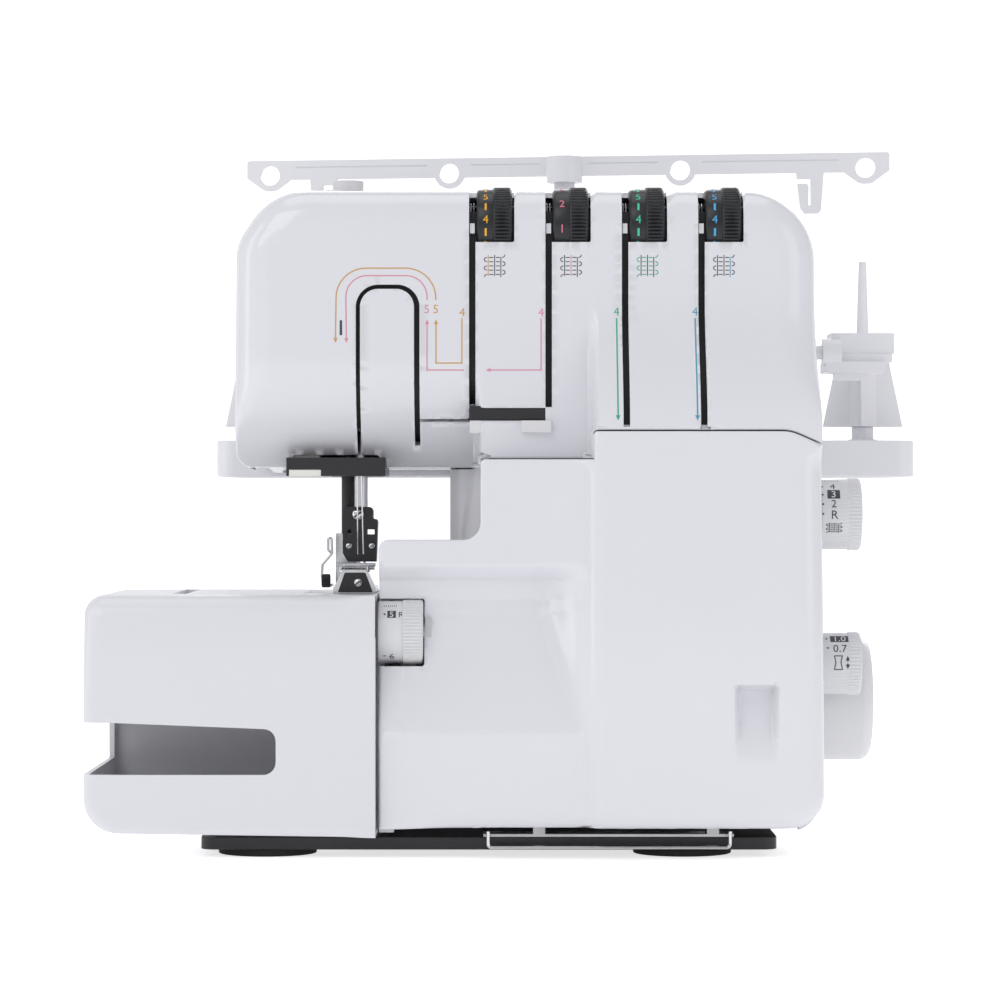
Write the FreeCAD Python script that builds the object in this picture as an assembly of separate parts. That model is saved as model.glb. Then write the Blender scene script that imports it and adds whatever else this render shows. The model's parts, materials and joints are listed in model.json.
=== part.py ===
"""Four-thread overlock sewing machine (serger), built as separate pieces in millimetres.

Frame: +Z up, front of the machine towards -Y, origin on the table surface at the middle of the
machine's width and depth. Left and right are as the operator sees them from the front.
"""

import FreeCAD
import Part
import math
import os

os.makedirs("parts", exist_ok=True)
V = FreeCAD.Vector

# ---------------------------------------------------------------- driving dimensions
TABLE_LEN = 116.5      # extension table, from the body's left side outwards
BODY_W = 178.0         # bed and column, from the table to the right side
TRAY_OVERHANG = 53.0   # spool stand past the right side
CASE_D = 165.0         # front of the looper cover to the back of the casing
TRAY_D = 117.0         # spool stand, front to back
CASE_TOP = 269.0       # top of the head above the table surface
HEAD_REACH = 59.0      # head, past the bed's left side
HEAD_BOTTOM = 157.0
BED_TOP = 106.0        # sewing level
LEDGE_TOP = 128.0      # raised edge of the looper cover beside the needle
COVER_BOTTOM = 13.0
FOOT_H = 3.0
WALL = 2.5
PART_GAP = 0.5         # between neighbouring covers
FIT = 0.05             # running fit, radial
CLEAR = 0.4            # free clearance between moving pieces

# ---------------------------------------------------------------- datum planes
TABLE_LEFT = -(TABLE_LEN + BODY_W + TRAY_OVERHANG) / 2
SPLIT_X = TABLE_LEFT + TABLE_LEN
BODY_RIGHT = SPLIT_X + BODY_W
TRAY_RIGHT = BODY_RIGHT + TRAY_OVERHANG
HEAD_LEFT = SPLIT_X - HEAD_REACH
FRONT = -(CASE_D + TRAY_D) / 2
CASE_BACK = FRONT + CASE_D
REAR = CASE_BACK + TRAY_D

HEAD_FRONT = FRONT + 25.0      # face of the head and tension panel
COVER_D = 28.0                 # depth of the looper cover
COVER_BACK = FRONT + COVER_D
HEAD_SPLIT = FRONT + 95.0      # seam between the front and rear casings
COLUMN_X = SPLIT_X + 41.0      # left edge of the column at the front
COLUMN_BACK_X = COLUMN_X - 13.0
BULGE_X = SPLIT_X + 86.0       # left edge of the forward part of the column
MID_TOP = 160.5                # looper cover's top edge, middle
COVER_TOP = 171.6              # looper cover's top edge, right
BASE_TOP = FOOT_H + 5.0
CASE_BOTTOM = 10.0

# ---------------------------------------------------------------- sewing head
NEEDLE_X = SPLIT_X - 8.3
NEEDLE_Y = FRONT + 62.0
NEEDLE_BAR_R = 2.7
NEEDLE_STROKE = 25.0
PRESSER_X = NEEDLE_X - 5.9
PRESSER_Y = NEEDLE_Y + 13.0
PRESSER_BAR_R = 2.8
BUSH_WALL = 1.6
CLAMP_BOTTOM = BED_TOP + 12.5
CLAMP_H = 22.5

# ---------------------------------------------------------------- drive
SHAFT_Y = FRONT + 85.0
SHAFT_Z = 61.0
SHAFT_R = 5.0
PULLEY_R = 21.0
MOTOR_PULLEY_R = 7.0
PULLEY_W = 10.0
MOTOR_Y = SHAFT_Y + 48.0
MOTOR_Z = 44.0
MOTOR_R = 25.0
HANDWHEEL_R = 25.5
HANDWHEEL_W = 23.5
TIMING_R = 12.0
BELT_T = 1.6
UPPER_SHAFT_Z = 200.0
UPPER_SHAFT_Y = SHAFT_Y
DRIVE_X = BODY_RIGHT - 40.0    # left face of the drive pulley
TIMING_X = DRIVE_X + PULLEY_W + 1.5

# ---------------------------------------------------------------- dials
TOP_EDGE_R = 14.0              # rounding of the casing's top front edge
DIAL_PROUD = 1.5               # the tension dials stand out of it
DIAL_R = TOP_EDGE_R + DIAL_PROUD
DIAL_W = 14.4
DIAL_PITCH = 30.7
DIAL_FIRST_X = SPLIT_X + 46.5
DIAL_Y = HEAD_FRONT + TOP_EDGE_R + 0.5
DIAL_Z = CASE_TOP - TOP_EDGE_R
DIAL_SPINDLE_R = 3.0
HOOK_Y = (HEAD_FRONT + 1.5, HEAD_FRONT + 5.0)
DISC_R = DIAL_Y - HOOK_Y[1] - CLEAR
LUG_REACH = DIAL_W / 2 + 3.8    # from a dial's middle to the far side of its lug
CHANNEL_OFFSET = -8.9
CHANNEL_W = 2.6
SIDE_DIAL_Y = FRONT + 45.0
LENGTH_DIAL_Z = 138.0
LENGTH_DIAL_R = 14.6
FEED_DIAL_Z = 77.3
FEED_DIAL_R = 12.8
SIDE_DIAL_W = 16.5
WIDTH_DIAL_Z = 91.0
WIDTH_DIAL_R = 13.0
WIDTH_DIAL_W = 15.0
WIDTH_DIAL_Y = FRONT + 20.0

# ---------------------------------------------------------------- spool stand and thread tree
TRAY_LEN = 307.0
TRAY_BOTTOM = 154.0
TRAY_H = 16.0
TREE_X = TRAY_RIGHT - TRAY_LEN / 2
TREE_Y = CASE_BACK + 30.0
PIN_TOP = 250.7
PIN_R = 4.9
PIN_NECK_R = 4.0
PIN_SHOULDER = 6.5             # height of the cones' seat above the tray
PIN_TIP_R = 1.7
PIN_REACH = (134.0, 52.0)      # outer and inner pins from the tree
PIN_DEPTH = (40.0, 75.0)       # the same pins behind the casing
CONE_R = 17.9
CONE_TOP_R = 11.0
CONE_H = 33.5
ARM_HALF = 144.6
ARM_TOP = 297.0
ARM_H = 8.7
ARM_TURN = -9.0                # degrees, resting angle of the thread guide arm

# ---------------------------------------------------------------- sizes: casings
KNOB_R = 6.4
ARCH_LEFT = SPLIT_X - 9.2
ARCH_RIGHT = SPLIT_X + 16.4
ARCH_TOP = CASE_TOP - 38.7
ARCH_SLOT = 1.6
SIDE_SPLIT_Y = COVER_BACK + PART_GAP
TOP_LEFT = [(HEAD_LEFT + 0.9, CASE_TOP - 21.5, 18), (HEAD_LEFT + 15.2, CASE_TOP, 27)]
TOP_RIGHT = [(BODY_RIGHT - 2.2, CASE_TOP, 28), (BODY_RIGHT - 1.5, CASE_TOP - 64, 60)]
GUIDE_DROP = 5.2
HEAD_OPENING = (NEEDLE_X - 30, NEEDLE_X + 11)
SPINDLE_R = 3.5
LEVER_Y = CASE_BACK - 36.0
LEVER_Z = 207.0
LEVER_SHAFT_R = 3.0
SWITCH_Y = CASE_BACK - 24.0
SWITCH_D = 24.0
SWITCH_Z = 82.0
SWITCH_H = 15.0
INLET_Z = 40.0
INLET_H = 24.0
PANEL_GAP = 0.2                # round the inlet and the switch in the rear casing
PLATE_T = 2.0
PLATE_X0 = NEEDLE_X - 22.0
PLATE_X1 = SPLIT_X + 14.0
PLATE_Y0 = NEEDLE_Y - 24.0
PLATE_Y1 = NEEDLE_Y + 24.0
ARM_LEN = 82.0
ARM_FRONT = FRONT + 30.0
ARM_BACK = FRONT + 108.0
ARM_BOTTOM = BED_TOP - 26.0

# ---------------------------------------------------------------- sizes: looper cover
HINGE_R = 2.0
HINGE_INSET = 8.0
HINGE_Y = COVER_BACK - HINGE_INSET
HINGE_Z = COVER_BOTTOM + HINGE_INSET
LUG_R = 4.5
LUG_W = 5.0
LUG_X = (SPLIT_X + 62.0, SPLIT_X + 132.0)
EAR_W = 4.0
EAR_GAP = 10.0                 # from a lug to its ear; the cover slides this way to unlock
COVER_SLIDE = 8.0
SCOOP_RIGHT = BULGE_X
GRIP_X = (BODY_RIGHT - 37.0, BODY_RIGHT - 19.0)
GRIP_Z = (42.0, 71.0)

# ---------------------------------------------------------------- sizes: extension table
TABLE_FRONT = FRONT + 2.0
TABLE_BACK = FRONT + 114.0
TABLE_BOTTOM = 10.0
SLOT_Z = (35.0, 54.0)
SLOT_LEN = 76.5
SLOT_R = 5.0
TABLE_LOW_R = 14.0
TABLE_TOP_R = 6.0
TABLE_PLAN_R = 8.0

# ---------------------------------------------------------------- sizes: base
FOOT_R = 20.0

# ---------------------------------------------------------------- sizes: frame
FRAME_Y0 = SHAFT_Y - 14.0
UPRIGHT_A = SPLIT_X + 9.0
UPRIGHT_B = TIMING_X + PULLEY_W + 1.5
UPRIGHT_T = 6.0
ARM_CAST_Z = (212.0, 238.0)
LUG_LOW_Z = 172.0
LUG_HIGH_Z = 222.0
LUG_T = 9.0

# ---------------------------------------------------------------- sizes: drive
MOTOR_SHAFT_R = 3.0
CRANK_R = 15.0
CRANK_W = 6.0

# ---------------------------------------------------------------- sizes: needle and presser
BAR_TOP = CASE_TOP - WALL - NEEDLE_STROKE - 3.0
NEEDLE_GAP = 2.6
NEEDLE_R = 0.55
NEEDLE_TIP = BED_TOP - 13.0
POINT_H = 3.0
SOCKET_H = 4.5                 # needle's length inside the clamp
FOOT_W = 17.0
FOOT_LIFT = 6.0

# ---------------------------------------------------------------- sizes: stitch forming
FEED_X = (NEEDLE_X - 6.0, NEEDLE_X + 4.4)
FEED_W = 2.0
FEED_H = 7.0
KNIFE_X = NEEDLE_X + 8.4
KNIFE_T = 1.8
LOOPER_T = 2.4
LOOPER_CLEAR = 0.6             # lower looper above the free arm's floor
LOOPER_PIVOT_R = 3.0
LOWER_LOOPER_Y = NEEDLE_Y - 3.2
UPPER_LOOPER_Y = NEEDLE_Y - 14.0
LOWER_PIVOT = (SPLIT_X + 24.0, BED_TOP - 60.0)
UPPER_GUIDE = (SPLIT_X + 36.0, BED_TOP - 46.0)
GUIDE_LEAN = 37.0              # degrees, the upper looper's rod leans to the left

# ---------------------------------------------------------------- sizes: thread guides
GUIDE_T = 2.0
GUIDE_HOLE_R = 2.6

# ---------------------------------------------------------------- sizes: spool stand
TUBE_WALL = 0.9
TREE_R = 6.5
TREE_LOW = 60.0
TRAY_TOP = TRAY_BOTTOM + TRAY_H
MID_TOP_Z = TRAY_TOP + 24.0
LOW_TOP_Z = TRAY_TOP + 14.0
ARM_T = 3.0
ARM_HOOK_X = 109.5
ARM_EYE_R = 4.4

parts = {}


# ---------------------------------------------------------------- shape helpers
def box(x0, x1, y0, y1, z0, z1):
    return Part.makeBox(x1 - x0, y1 - y0, z1 - z0, V(x0, y0, z0))


def rod_x(x0, x1, y, z, r):
    return Part.makeCylinder(r, x1 - x0, V(x0, y, z), V(1, 0, 0))


def rod_y(y0, y1, x, z, r):
    return Part.makeCylinder(r, y1 - y0, V(x, y0, z), V(0, 1, 0))


def rod_z(z0, z1, x, y, r):
    return Part.makeCylinder(r, z1 - z0, V(x, y, z0), V(0, 0, 1))


def cone_z(z0, z1, x, y, r0, r1):
    return Part.makeCone(r0, r1, z1 - z0, V(x, y, z0), V(0, 0, 1))


def fuse(*shapes):
    return shapes[0].fuse(list(shapes[1:])).removeSplitter()


def cut(shape, *tools):
    return shape.cut(list(tools))


def rounded_wire(points, place):
    """Closed wire through (u, v, radius) corners, each corner an arc of that radius."""
    corners = [V(p[0], p[1], 0) for p in points]
    spans = []
    for i, corner in enumerate(corners):
        radius = points[i][2]
        if radius <= 0:
            spans.append((corner, None, corner))
            continue
        before = (corners[i - 1] - corner).normalize()
        after = (corners[(i + 1) % len(corners)] - corner).normalize()
        half = before.getAngle(after) / 2
        trim = radius / math.tan(half)
        middle = (before + after).normalize()
        centre = corner + middle * (radius / math.sin(half))
        spans.append((corner + before * trim, centre - middle * radius, corner + after * trim))
    edges = []
    for i, (start, crown, end) in enumerate(spans):
        if crown is not None:
            edges.append(Part.Arc(place(start), place(crown), place(end)).toShape())
        following = spans[(i + 1) % len(spans)][0]
        if (following - end).Length > 1e-6:
            edges.append(Part.LineSegment(place(end), place(following)).toShape())
    return Part.Wire(edges)


def prism_xz(points, y0, y1, inset=0.0):
    wire = rounded_wire(points, lambda p: V(p.x, y0, p.y))
    if inset:
        wire = wire.makeOffset2D(-inset)
    return Part.Face(wire).extrude(V(0, y1 - y0, 0))


def prism_yz(points, x0, x1, inset=0.0):
    wire = rounded_wire(points, lambda p: V(x0, p.x, p.y))
    if inset:
        wire = wire.makeOffset2D(-inset)
    return Part.Face(wire).extrude(V(x1 - x0, 0, 0))


def prism_xy(points, z0, z1, inset=0.0):
    wire = rounded_wire(points, lambda p: V(p.x, p.y, z0))
    if inset:
        wire = wire.makeOffset2D(-inset)
    return Part.Face(wire).extrude(V(0, 0, z1 - z0))


def round_box(x0, x1, y0, y1, z0, z1, r):
    """Box with its four upright corners rounded."""
    return prism_xy([(x0, y0, r), (x1, y0, r), (x1, y1, r), (x0, y1, r)], z0, z1)


def ring_x(x0, x1, y, z, outer, inner):
    return cut(rod_x(x0, x1, y, z, outer), rod_x(x0 - 1, x1 + 1, y, z, inner))


def ring_z(z0, z1, x, y, outer, inner):
    return cut(rod_z(z0, z1, x, y, outer), rod_z(z0 - 1, z1 + 1, x, y, inner))


def moved(shape, x=0.0, y=0.0, z=0.0):
    copy = shape.copy()
    copy.translate(V(x, y, z))
    return copy


def belt_x(x0, x1, a, b, gap):
    """Flat belt across X round two pulleys given as (y, z, r), held off them by gap."""
    def loop(grow):
        wheels = [rod_x(x0 - 1, x1 + 1, y, z, r + grow) for y, z, r in (a, b)]
        dy = b[0] - a[0]
        dz = b[1] - a[1]
        span = math.hypot(dy, dz)
        lean = math.atan2(dz, dy)
        side = math.acos((a[2] - b[2]) / span)
        corners = []
        for (y, z, r), sign in ((a, 1), (b, 1), (b, -1), (a, -1)):
            turn = lean + sign * side
            corners.append(V(x0 - 1, y + (r + grow) * math.cos(turn), z + (r + grow) * math.sin(turn)))
        web = Part.Face(Part.makePolygon(corners + corners[:1])).extrude(V(x1 - x0 + 2, 0, 0))
        return fuse(web, *wheels)
    ring = cut(loop(gap + BELT_T), loop(gap))
    return ring.common(box(x0, x1, FRONT, REAR, 0, CASE_TOP))


# ---------------------------------------------------------------- casings


def upper_outline():
    """Front outline of the head and column above the looper cover's top edge."""
    return [(HEAD_LEFT, HEAD_BOTTOM, 12)] + TOP_LEFT + TOP_RIGHT + [
        (BODY_RIGHT, COVER_TOP, 0), (BULGE_X, COVER_TOP, 0),
        (BULGE_X, MID_TOP, 0), (COLUMN_X, MID_TOP, 0), (COLUMN_X, HEAD_BOTTOM, 0)]


def head_profile(back):
    """Side outline of the head: flat face, then a chin that curves back under it."""
    return [(back, HEAD_BOTTOM, 0), (HEAD_FRONT + 36, HEAD_BOTTOM, 10),
            (HEAD_FRONT + 12, HEAD_BOTTOM + 11, 26), (HEAD_FRONT, HEAD_BOTTOM + 39, 36),
            (HEAD_FRONT, CASE_TOP, TOP_EDGE_R), (back, CASE_TOP, 0)]


def panel_profile(back):
    return [(back, MID_TOP, 0), (HEAD_FRONT, MID_TOP, 0), (HEAD_FRONT, CASE_TOP, TOP_EDGE_R),
            (back, CASE_TOP, 0)]


def bulge_profile(back):
    """Side outline of the column's right part, which comes forward towards the looper cover."""
    forward = FRONT + 4.0
    return [(back, COVER_TOP, 0), (forward, COVER_TOP, 0), (forward, COVER_TOP + 6, 20),
            (HEAD_FRONT - 4, CASE_TOP - 62, 40), (HEAD_FRONT, CASE_TOP - 40, 40),
            (HEAD_FRONT, CASE_TOP, TOP_EDGE_R), (back, CASE_TOP, 0)]


def upper_form(back, inset=0.0):
    """Outer form of head and column from the front to back, or the same form inset all round."""
    outline = prism_xz(upper_outline(), FRONT, back, inset)
    far = back + 1 + inset
    head = prism_yz(head_profile(far), HEAD_LEFT - 1, COLUMN_X + inset, inset)
    panel = prism_yz(panel_profile(far), COLUMN_X + inset, BULGE_X + inset, inset)
    bulge = prism_yz(bulge_profile(far), BULGE_X + inset, BODY_RIGHT + 1, inset)
    return outline.common(fuse(head, panel, bulge))


def dial_x(i):
    return DIAL_FIRST_X + DIAL_PITCH * i


def channel_x(i):
    return dial_x(i) + CHANNEL_OFFSET


def channel_bottom(i):
    """The two needle-thread channels end higher than the two looper-thread channels."""
    return COVER_TOP + (9.5 if i < 2 else 0.0)


def arch_outline(inset):
    foot = HEAD_BOTTOM + 5.0
    return [(ARCH_LEFT + inset, foot, 0), (ARCH_LEFT + inset, ARCH_TOP - inset, 9 - inset),
            (ARCH_RIGHT - inset, ARCH_TOP - inset, 9 - inset), (ARCH_RIGHT - inset, foot, 0)]


def make_front_casing():
    shell = cut(upper_form(HEAD_SPLIT), upper_form(HEAD_SPLIT + 1, WALL))
    tools = []
    for i in range(4):
        half = DIAL_W / 2 + 0.8
        tools.append(rod_x(dial_x(i) - half, dial_x(i) + half, DIAL_Y, DIAL_Z, DIAL_R + 0.8))
        tools.append(box(channel_x(i) - CHANNEL_W / 2, channel_x(i) + CHANNEL_W / 2, FRONT,
                         DIAL_Y + DIAL_R + 6, channel_bottom(i), CASE_TOP + 1))
    arch_depth = HEAD_FRONT + 16
    tools.append(cut(prism_xz(arch_outline(0.0), FRONT, arch_depth),
                     prism_xz(arch_outline(ARCH_SLOT), FRONT - 1, arch_depth + 1)))
    gap_z = channel_bottom(0) - GUIDE_DROP
    tools.append(box(ARCH_RIGHT - ARCH_SLOT, channel_x(0) + CHANNEL_W / 2, FRONT, HEAD_FRONT + 16,
                     gap_z, gap_z + 1.2))
    tools.append(box(channel_x(0) - CHANNEL_W / 2, channel_x(1) + CHANNEL_W / 2, FRONT,
                     HEAD_FRONT + 6, gap_z - 6, channel_bottom(0) + 1))
    tools.append(box(HEAD_OPENING[0], HEAD_OPENING[1], HEAD_FRONT, HEAD_SPLIT + 1,
                     HEAD_BOTTOM - 1, HEAD_BOTTOM + 16))
    tools.append(rod_z(CASE_TOP - 10, CASE_TOP + 1, PRESSER_X, PRESSER_Y, KNOB_R + 0.6))
    tools.append(box(TIMING_X - 2, UPRIGHT_B + UPRIGHT_T + 2, FRAME_Y0 - 4, HEAD_SPLIT + 1,
                     COVER_TOP - 1, COVER_TOP + WALL + 1))
    return cut(shell, *tools)


def lower_outline(inset):
    """Front outline of everything behind the looper cover, below the head."""
    return [(COLUMN_BACK_X + inset, CASE_BOTTOM + inset, 0),
            (BODY_RIGHT - inset, CASE_BOTTOM + inset, 14 - inset),
            (BODY_RIGHT - inset, COVER_TOP + 6, 0), (COLUMN_BACK_X + inset, COVER_TOP + 6, 0)]


def back_upper_form(front, inset):
    """Head and column behind the casing seam."""
    points = [(HEAD_LEFT, HEAD_BOTTOM, 12)] + TOP_LEFT + TOP_RIGHT + [
        (BODY_RIGHT, HEAD_BOTTOM, 0)]
    profile = [(front, HEAD_BOTTOM, 0), (front, CASE_TOP, 0), (CASE_BACK, CASE_TOP, 8),
               (CASE_BACK, HEAD_BOTTOM, 0)]
    far = prism_yz(profile, HEAD_LEFT - 1, BODY_RIGHT + 1, inset)
    return prism_xz(points, front - 1, CASE_BACK, inset).common(far)


def make_rear_casing():
    """Rear shell: back of the head, column and bed, with an open mouth behind the looper cover."""
    seam = HEAD_SPLIT + PART_GAP
    column = prism_xz(lower_outline(0.0), SIDE_SPLIT_Y, CASE_BACK)
    slope = prism_xy([(COLUMN_BACK_X - 5, SIDE_SPLIT_Y - 1, 0), (COLUMN_X, SIDE_SPLIT_Y - 1, 0),
                      (COLUMN_X, SIDE_SPLIT_Y + 26, 0), (COLUMN_BACK_X, SIDE_SPLIT_Y + 52, 0),
                      (COLUMN_BACK_X - 5, SIDE_SPLIT_Y + 52, 0)], BED_TOP, COVER_TOP + 7)
    column = cut(column, slope, moved(upper_form(HEAD_SPLIT), z=-PART_GAP),
                 box(COLUMN_BACK_X - 1, BODY_RIGHT + 1, SIDE_SPLIT_Y - 1, seam, COVER_TOP - PART_GAP,
                     COVER_TOP + 7))
    bed = box(SPLIT_X, COLUMN_BACK_X + 20, SIDE_SPLIT_Y, CASE_BACK, CASE_BOTTOM, BED_TOP)
    outer = fuse(back_upper_form(seam, 0.0), column, bed)
    room = prism_xz(lower_outline(WALL), SIDE_SPLIT_Y - 1, CASE_BACK - WALL)
    room = cut(room, moved(slope, x=WALL, y=WALL),
               box(COLUMN_BACK_X - 5, COLUMN_X + WALL, SIDE_SPLIT_Y - 2, SIDE_SPLIT_Y + WALL,
                   BED_TOP - WALL, COVER_TOP + 7))
    neck = box(COLUMN_BACK_X + 20, BODY_RIGHT - WALL, seam - 1, CASE_BACK - WALL, HEAD_BOTTOM - 30,
               CASE_TOP - 70)
    bed_room = box(SPLIT_X + WALL, COLUMN_BACK_X + 25, SIDE_SPLIT_Y - 1, CASE_BACK - WALL,
                   CASE_BOTTOM + WALL, BED_TOP - WALL)
    inner = fuse(back_upper_form(seam - WALL - 1, WALL), room, neck, bed_room)
    arm_link = box(SPLIT_X - 1, SPLIT_X + WALL + 1, ARM_FRONT + WALL, ARM_BACK - WALL,
                   ARM_BOTTOM + WALL, BED_TOP - WALL)
    holes = [arm_link, plate_recess(), motor_vent_slots(), belly_opening()]
    holes += [rod_x(BODY_RIGHT - 6, BODY_RIGHT + 1, SIDE_DIAL_Y, z, SPINDLE_R + 0.5)
              for z in (LENGTH_DIAL_Z, FEED_DIAL_Z)]
    holes.append(rod_x(BODY_RIGHT - 6, BODY_RIGHT + 1, SHAFT_Y, SHAFT_Z, SHAFT_R + 1.0))
    holes.append(rod_x(BODY_RIGHT - 6, BODY_RIGHT + 1, LEVER_Y, LEVER_Z, LEVER_SHAFT_R + FIT))
    holes.append(box(BODY_RIGHT - 6, BODY_RIGHT + 1, SWITCH_Y - SWITCH_D / 2, SWITCH_Y + SWITCH_D / 2,
                     SWITCH_Z - SWITCH_H / 2, SWITCH_Z + SWITCH_H / 2))
    holes.append(box(BODY_RIGHT - 6, BODY_RIGHT + 1, SWITCH_Y - SWITCH_D / 2, SWITCH_Y + SWITCH_D / 2,
                     INLET_Z - INLET_H / 2, INLET_Z + INLET_H / 2))
    return cut(outer, inner, *holes)


def plate_recess():
    """Pocket that the needle plate lies in, across the free arm and the bed."""
    g = 0.2
    return box(PLATE_X0 - g, PLATE_X1 + g, PLATE_Y0 - g, PLATE_Y1 + g, BED_TOP - WALL - 1, BED_TOP + 1)


def motor_vent_slots():
    slots = [box(SPLIT_X + 90 + 7 * i, SPLIT_X + 93 + 7 * i, CASE_BACK - 6, CASE_BACK + 1, 30, 62)
             for i in range(8)]
    return Part.makeCompound(slots)


def belly_opening():
    """The casings are open underneath, where the base plate closes them."""
    return box(SPLIT_X + 6, UPRIGHT_B + UPRIGHT_T + 2, SIDE_SPLIT_Y - 1, CASE_BACK - 6, CASE_BOTTOM - 1,
               CASE_BOTTOM + WALL + 1)


def make_free_arm_cover():
    left = SPLIT_X - ARM_LEN
    right = SPLIT_X - 0.3

    def form(inset):
        return prism_xz([(left + inset, ARM_BOTTOM + inset, 10 - inset), (right, ARM_BOTTOM + inset, 0),
                         (right, BED_TOP - inset, 0), (left + inset, BED_TOP - inset, 5 - inset)],
                        ARM_FRONT + inset, ARM_BACK - inset)

    hollow = fuse(form(WALL), box(right - 3, right + 1, ARM_FRONT + WALL, ARM_BACK - WALL,
                                  ARM_BOTTOM + WALL, BED_TOP - WALL))
    return cut(form(0.0), hollow, plate_recess())


# ---------------------------------------------------------------- looper cover


def cover_outline(inset):
    gap = PART_GAP
    left = SPLIT_X + gap
    return [(left + inset, COVER_BOTTOM + inset, 0), (BODY_RIGHT - inset, COVER_BOTTOM + inset, 14 - inset),
            (BODY_RIGHT - inset, COVER_TOP - gap - inset, 0),
            (BULGE_X + gap + inset, COVER_TOP - gap - inset, 0),
            (BULGE_X + gap + inset, MID_TOP - gap - inset, 0),
            (COLUMN_X + inset, MID_TOP - gap - inset, 0), (COLUMN_X + inset, LEDGE_TOP - inset, 8),
            (left + inset, LEDGE_TOP - inset, 4)]


def cover_profile(inset):
    """Side outline of the cover; its lower back corner is an arc about the hinge."""
    back = COVER_BACK if inset == 0 else COVER_BACK + 1
    return [(FRONT + inset, COVER_BOTTOM + inset, 10 - inset),
            (back, COVER_BOTTOM + inset, HINGE_INSET if inset == 0 else 0),
            (back, COVER_TOP, 0), (FRONT + inset, COVER_TOP, 0)]


def scoop(grow):
    """Hollow in the cover's left part: an overhang under the ledge and a floor that comes forward."""
    points = [(FRONT - 2, 50 - grow, 0), (FRONT + 1 + grow, 50 - grow, 0), (FRONT + 16 + grow, 100, 12),
              (FRONT + 13 + grow, LEDGE_TOP - 14 + grow, 6), (FRONT + 3, LEDGE_TOP - 11 + grow, 0),
              (FRONT - 2, LEDGE_TOP - 11 + grow, 0)]
    return prism_yz(points, SPLIT_X - 1, SCOOP_RIGHT + grow)


def make_front_cover():
    outer = prism_xz(cover_outline(0.0), FRONT, COVER_BACK).common(
        prism_yz(cover_profile(0.0), SPLIT_X - 1, BODY_RIGHT + 1))
    inner = prism_xz(cover_outline(WALL), FRONT, COVER_BACK + 1).common(
        prism_yz(cover_profile(WALL), SPLIT_X - 1, BODY_RIGHT + 1))
    grip = box(GRIP_X[0], GRIP_X[1], FRONT - 1, FRONT + 9, GRIP_Z[0], GRIP_Z[1])
    grip_wall = box(GRIP_X[0] - WALL, GRIP_X[1] + WALL, FRONT, FRONT + 9 + WALL,
                    GRIP_Z[0] - WALL, GRIP_Z[1] + WALL)
    shell = cut(outer, scoop(0.0), grip, cut(inner, scoop(WALL), grip_wall))
    ears = []
    notches = []
    for x in LUG_X:
        ear_x = x + LUG_W + EAR_GAP
        ears.append(cut(box(ear_x, ear_x + EAR_W, HINGE_Y - 4, HINGE_Y + 4, COVER_BOTTOM + 1, HINGE_Z + 4),
                        rod_x(ear_x - 1, ear_x + EAR_W + 1, HINGE_Y, HINGE_Z, HINGE_R + FIT)))
        notches.append(box(x - COVER_SLIDE - 2, x + LUG_W + 2, HINGE_Y - LUG_R - 1, COVER_BACK + 1,
                           COVER_BOTTOM - 1, HINGE_Z - LUG_R + 3))
    notches.append(box(SPLIT_X - 1, SPLIT_X + WIDTH_DIAL_W + 9, FRONT - 1, COVER_BACK + 1,
                       WIDTH_DIAL_Z - WIDTH_DIAL_R - 1, WIDTH_DIAL_Z + WIDTH_DIAL_R + 1))
    return cut(fuse(shell, *ears), *notches)


def make_hinge_rod():
    return rod_x(LUG_X[0] - 12, LUG_X[1] + LUG_W + EAR_GAP + EAR_W + 4, HINGE_Y, HINGE_Z, HINGE_R)


def make_hinge_bracket():
    """Steel bracket on the base plate with the two lugs that carry the cover's hinge rod."""
    plate = box(SPLIT_X + 42, SPLIT_X + 143, COVER_BACK + 1, COVER_BACK + 12, BASE_TOP, BASE_TOP + 1.5)
    pieces = [plate]
    for x in LUG_X:
        arm = box(x, x + LUG_W, HINGE_Y, COVER_BACK + 12, HINGE_Z - LUG_R, HINGE_Z + LUG_R)
        post = box(x, x + LUG_W, COVER_BACK + 1, COVER_BACK + 12, BASE_TOP + 1, HINGE_Z)
        pieces += [arm, post, rod_x(x, x + LUG_W, HINGE_Y, HINGE_Z, LUG_R)]
    return cut(fuse(*pieces), rod_x(SPLIT_X, BODY_RIGHT, HINGE_Y, HINGE_Z, HINGE_R + FIT))


# ---------------------------------------------------------------- extension table


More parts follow.
